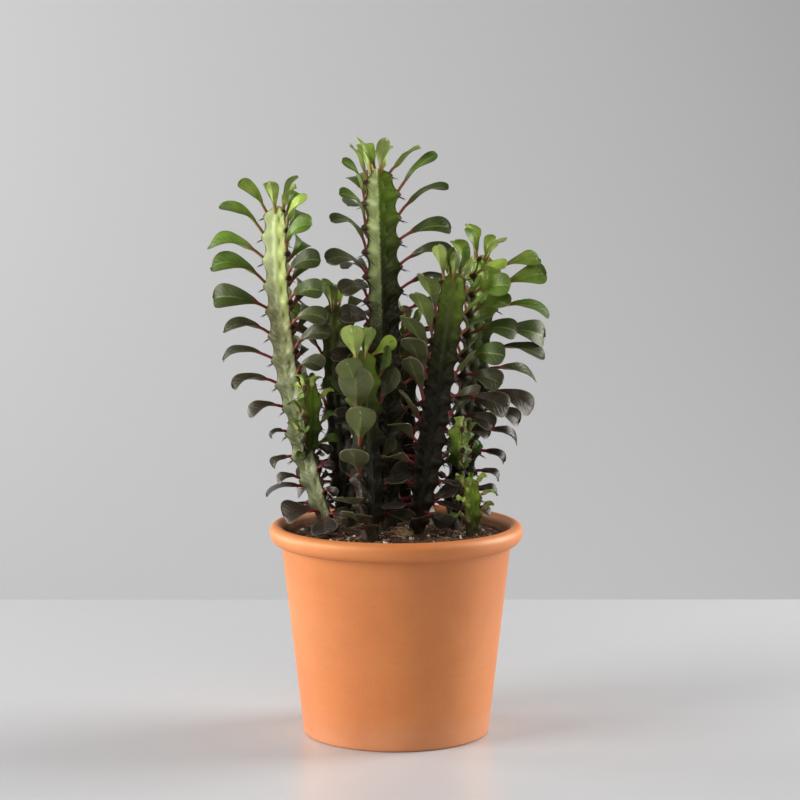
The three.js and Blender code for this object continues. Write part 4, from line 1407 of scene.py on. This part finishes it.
# %% Spines
SPINE_LENGTH = 5.2
SPINE_SUNK = 2
SPINE_SPLAY = 38
SPINE_DROOP = 0.22
SPINE_BEND = 0.7
SPINE_RADIUS = 0.42
UNDER_LEAF = 1.4
SPINE_PROFILE = [(1.0, 0.0), (0.85, 0.35), (0.5, 0.7), (0.08, 1.0)]
MASTER_SPINE = raise_rings("master_spine", SPINE_PROFILE, 6, (0, 0, 0))


def shape_spines(stem, tooth, name):
    """The pair of spines under a tooth, one to each hand"""
    point, along, across, square = frame_at(stem, tooth["down"] + UNDER_LEAF)
    angle = rib_angle(stem, tooth["rib"])
    inside = rib_radius(stem, tooth["down"]) - SPINE_SUNK - 0.2
    base = point + outward(across, square, angle) * inside
    pieces = []
    for hand in (-1, 1):
        luck = draw(tooth["number"] * 2 + 61 + hand)
        way = unit(outward(across, square, angle + hand * SPINE_SPLAY) - SPINE_DROOP * along)
        wide = unit(np.cross(way, along))
        tall = np.cross(way, wide)
        piece = copy_of(MASTER_SPINE, f"{name}_{hand + 1}")
        x, y, z = points_of(piece).T
        length = SPINE_SUNK + SPINE_LENGTH * (0.75 + 0.35 * luck)
        place = base + way * (z * length)[:, None] + wide * (x * SPINE_RADIUS)[:, None]
        place = place + tall * (y * SPINE_RADIUS)[:, None] - along * (SPINE_BEND * z ** 2)[:, None]
        set_points(piece, place * MM + POT_AXIS)
        set_value(piece, "along", z)
        pieces.append(piece)
    return pieces


def spine_material():
    material, tree, shader = new_material("spine_horn")
    grain = noise_node(tree, object_place(tree), 2500, 2.0)
    to_the_tip = plus(tree, attribute(tree, "along"), between(tree, grain, -0.15, 0.15))
    horn = ramp(tree, to_the_tip, [
        (0.25, screen(96, 48, 40)),
        (0.55, screen(46, 30, 26)),
        (1.00, screen(24, 20, 18)),
    ])
    connect(tree, shader, {"Base Color": horn, "Roughness": between(tree, grain, 0.3, 0.5)})
    set_bump(tree, shader, grain, 0.00003)
    return material


SPINE_MATERIAL = spine_material()
for name in STEM_NAMES:
    spines = []
    for stem in bodies_of(name):
        for i, tooth in enumerate(stem["teeth"]):
            spines += shape_spines(stem, tooth, f"spine_{stem['number']}_{i}")
    pairs = merge(spines, f"{name}_spines")
    finish_piece(pairs, SPINE_MATERIAL, 50)
    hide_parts(name)
for master in (MASTER_LEAF, MASTER_SPINE):
    bpy.data.objects.remove(master)

# %% [markdown]
# The soil fills the pot almost to its rim. Its top is a disc of fine rings, lifted by noise into
# crumbs and hollows. Potting soil is dark and damp, with paler bits of bark in it.

# %% Soil
SOIL_MOUND = 2.5
SOIL_BUMP = 1.1
SOIL_CORNERS = 220
SOIL_RINGS = 62
SOIL_GAP = 0.3
SOIL_EDGE = 5
POLE = 0.002
CLODS = ((0.09, 1.5), (0.28, 1.1), (0.8, 0.5))


def soil_height(x, y):
    """Height of the plain soil surface at places in millimetres about the pot's axis"""
    mound = SOIL_MOUND * (1 - (x * x + y * y) / NECK_RADIUS ** 2)
    return SOIL_LEVEL + mound + SOIL_BUMP * np.sin(x * 0.21 + 1) * np.cos(y * 0.18 - 0.6)


def clods(x, y):
    """Lumps of several sizes, as a height in millimetres"""
    return sum(high * noise.noise((x * often, y * often, often)) for often, high in CLODS)


def make_soil():
    bottom = FLOOR + SOIL_GAP
    top = wall_inside(SOIL_LEVEL) - SOIL_GAP
    rings = [(r, SOIL_LEVEL) for r in np.linspace(top, POLE, SOIL_RINGS)]
    shoulder = (wall_inside(FLARE_FROM) - SOIL_GAP, FLARE_FROM)
    profile = [(POLE, bottom), (wall_inside(bottom) - SOIL_GAP, bottom), shoulder, *rings]
    piece = lathe("potting_soil", profile, SOIL_CORNERS)
    piece = merge([piece], "potting_soil")
    points = (points_of(piece) - POT_AXIS) / MM
    on_top = points[:, 2] > SOIL_LEVEL - 1
    x, y = points[on_top, 0], points[on_top, 1]
    lumps = np.array([clods(a, b) for a, b in zip(x, y)])
    inside = smooth((top - np.hypot(x, y)) / SOIL_EDGE)
    points[on_top, 2] += inside * (soil_height(x, y) - SOIL_LEVEL + lumps)
    set_points(piece, points * MM + POT_AXIS)
    return piece


def soil_material():
    material, tree, shader = new_material("damp_soil")
    place = object_place(tree)
    crumbs = noise_node(tree, place, 420, 6.0, 0.7)
    patches = noise_node(tree, place, 45, 3.0)
    dark = ramp(tree, plus(tree, crumbs, between(tree, patches, -0.12, 0.12)), [
        (0.30, screen(32, 21, 15)),
        (0.45, screen(78, 54, 38)),
        (0.60, screen(126, 92, 66)),
        (0.78, screen(164, 128, 96)),
    ])
    rough = between(tree, crumbs, 0.7, 1.0)
    connect(tree, shader, {"Base Color": dark, "Roughness": rough, "Specular IOR Level": 0.3})
    set_bump(tree, shader, crumbs, 0.0012)
    return material


soil = finish_piece(make_soil(), soil_material(), 80)
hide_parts("soil")

# %% [markdown]
# Loose things lie on the soil: crumbs and chips of bark, white bits of perlite, and pale root fibres
# with a tuft of coir near the front. Each kind is modelled once or in a few shapes, and scattered by a
# seeded draw, so the scene is the same each time.

# %% What lies on the soil
SCATTER_SEED = 48
LITTER_RADIUS = 66
FOOT_ROOM = 1.5
LUMP_SHAPES = 4
LUMP_ROUGHNESS = 0.8
LUMP_GRAIN = 2.6
LUMP_SUNK = 0.22
LUMP_TILT = 0.35
LITTER = {
    "soil_crumbs": {
        "finish": "soil_crumb", "detail": 1, "count": 620, "sizes": (0.9, 2.6), "flat": (0.5, 0.9),
        "grain": 900, "smooth": 25,
        "stops": [(0.15, screen(46, 31, 22)), (0.55, screen(98, 70, 50)), (0.95, screen(158, 122, 90))],
    },
    "bark_chips": {
        "finish": "bark", "detail": 2, "count": 110, "sizes": (2.2, 6.5), "flat": (0.22, 0.42),
        "grain": 700, "smooth": 40,
        "stops": [(0.15, screen(50, 33, 25)), (0.50, screen(96, 68, 50)), (0.95, screen(152, 116, 84))],
    },
    "perlite": {
        "finish": "perlite", "detail": 2, "count": 72, "sizes": (1.2, 3.6), "flat": (0.6, 0.9),
        "grain": 1500, "smooth": 40,
        "stops": [(0.20, screen(198, 192, 182)), (0.80, screen(236, 232, 224))],
    },
}
chance = np.random.default_rng(SCATTER_SEED)


def rough_lump(name, detail):
    """A small stone-like lump about one unit across"""
    deselect()
    bpy.ops.mesh.primitive_ico_sphere_add(subdivisions=detail, radius=0.5, location=(0, 0, 0))
    piece = bpy.context.object
    piece.name = name
    points = points_of(piece)
    shift = chance.uniform(0, 50, 3)
    swell = [1 + LUMP_ROUGHNESS * noise.noise(Vector(point * LUMP_GRAIN + shift)) for point in points]
    set_points(piece, points * np.array(swell)[:, None])
    return piece


def free_spot(reach):
    """A place on the soil that is not in a stem"""
    feet = [stem for stem in STEMS if is_rooted(stem)]
    while True:
        radius = reach * math.sqrt(chance.random())
        angle = chance.uniform(0, 2 * math.pi)
        x, y = radius * math.cos(angle), radius * math.sin(angle)
        apart = [math.hypot(x - s["foot"][0], y - s["foot"][1]) - FOOT_SHARE * s["rib"] for s in feet]
        if min(apart) > FOOT_ROOM:
            return x, y


def ground(x, y):
    return float(soil_height(x, y)) + clods(x, y)


def turn_about(angles):
    """A rotation matrix from three angles"""
    (a, b, c), (sa, sb, sc) = np.cos(angles), np.sin(angles)
    about_x = np.array([[1, 0, 0], [0, a, -sa], [0, sa, a]])
    about_y = np.array([[b, 0, sb], [0, 1, 0], [-sb, 0, b]])
    about_z = np.array([[c, -sc, 0], [sc, c, 0], [0, 0, 1]])
    return about_z @ about_y @ about_x


def scatter(name, kind):
    """Copies of a few lumps on the soil, each with its own size, turn and luck"""
    masters = [rough_lump(f"{name}_shape_{i}", kind["detail"]) for i in range(LUMP_SHAPES)]
    small, large = kind["sizes"]
    pieces = []
    for i in range(kind["count"]):
        piece = copy_of(masters[i % LUMP_SHAPES], f"{name}_{i}")
        size = small + (large - small) * chance.random() ** 2
        shape = size * np.array([1, chance.uniform(0.45, 0.9), chance.uniform(*kind["flat"])])
        turn = turn_about(np.array([*chance.normal(0, LUMP_TILT, 2), chance.uniform(0, 2 * math.pi)]))
        x, y = free_spot(LITTER_RADIUS)
        points = (points_of(piece) * shape) @ turn.T
        points += (x, y, ground(x, y) + shape[2] * (0.5 - LUMP_SUNK))
        set_points(piece, points * MM + POT_AXIS)
        set_value(piece, "luck", chance.random())
        pieces.append(piece)
    for master in masters:
        bpy.data.objects.remove(master)
    return merge(pieces, name, 1e-7)


def bit_material(name, stops, scale):
    """Small bits: each has its own tone by its luck, and a fine grain of its own"""
    material, tree, shader = new_material(name)
    grain = noise_node(tree, object_place(tree), scale, 4.0, 0.6)
    tone = plus(tree, times(tree, attribute(tree, "luck"), 0.65), times(tree, grain, 0.35))
    rough = between(tree, grain, 0.65, 0.95)
    connect(tree, shader, {"Base Color": ramp(tree, tone, stops), "Roughness": rough})
    set_bump(tree, shader, grain, 0.0002)
    return material


for name, kind in LITTER.items():
    bits = scatter(name, kind)
    finish_piece(bits, bit_material(kind["finish"], kind["stops"], kind["grain"]), kind["smooth"])

# %% [markdown]
# A fibre is a thin rod raised from a four-sided ring. Each copy is bent along a random curve of its
# own. Most lie flat on the soil, and those of the coir tuft spring up in a loose tangle.

# %% Root fibres and coir
ROD_PROFILE = [(1.0, i / 10) for i in range(10)] + [(0.4, 1.0)]
FIBRE_RADIUS = 0.16
FIBRE_REACH = 52
TUFT_AT = (4, -24)
TUFT_SPREAD = 1.6
SPRINGS_UP = 0.2
MASTER_ROD = raise_rings("master_rod", ROD_PROFILE, 4, (0, 0, 0))


def bend_rod(name, start, heading, lift, length, curl, radius):
    """A copy of the rod along a curve that turns by 'curl' and falls back by gravity"""
    piece = copy_of(MASTER_ROD, name)
    x, y, z = points_of(piece).T
    lies = lift <= SPRINGS_UP
    angle = heading + curl * z
    out = length * z * (1 - 0.08 * np.abs(curl) * z)
    rise = lift * length * (z - z ** 2 * (1.0 if lies else 0.75))
    middle = np.stack([start[0] + out * np.cos(angle), start[1] + out * np.sin(angle)], axis=1)
    if lies:
        rise = rise + np.array([ground(a, b) for a, b in middle]) - start[2]
    side = np.stack([-np.sin(angle), np.cos(angle)], axis=1)
    flat = middle + side * (x * radius)[:, None]
    points = np.column_stack([flat, start[2] + rise + y * radius])
    set_points(piece, points * MM + POT_AXIS)
    set_value(piece, "luck", chance.random())
    return piece


def lying_fibres(count):
    pieces = []
    for i in range(count):
        x, y = free_spot(FIBRE_REACH)
        start = (x, y, ground(x, y) + 0.25)
        length = chance.uniform(6, 17)
        pieces.append(bend_rod(f"fibre_{i}", start, chance.uniform(0, 6.3), chance.uniform(0.02, 0.18),
                               length, chance.normal(0, 1.4), FIBRE_RADIUS * chance.uniform(0.7, 1.3)))
    return merge(pieces, "root_fibres", 1e-7)


def coir_tuft(count):
    pieces = []
    for i in range(count):
        x, y = np.array(TUFT_AT) + chance.normal(0, TUFT_SPREAD, 2)
        start = (x, y, ground(x, y) - 0.3)
        pieces.append(bend_rod(f"coir_{i}", start, chance.uniform(0, 6.3), chance.uniform(0.5, 2.6),
                               chance.uniform(4, 10), chance.normal(0, 1.8), FIBRE_RADIUS * 0.8))
    return merge(pieces, "coir_tuft", 1e-7)


FIBRE_STOPS = [(0.2, screen(150, 124, 96)), (0.8, screen(206, 186, 156))]
COIR_STOPS = [(0.2, screen(176, 140, 102)), (0.8, screen(226, 196, 152))]
finish_piece(lying_fibres(110), bit_material("root_fibre", FIBRE_STOPS, 1200), 60)
finish_piece(coir_tuft(95), bit_material("coir", COIR_STOPS, 1200), 60)
bpy.data.objects.remove(MASTER_ROD)
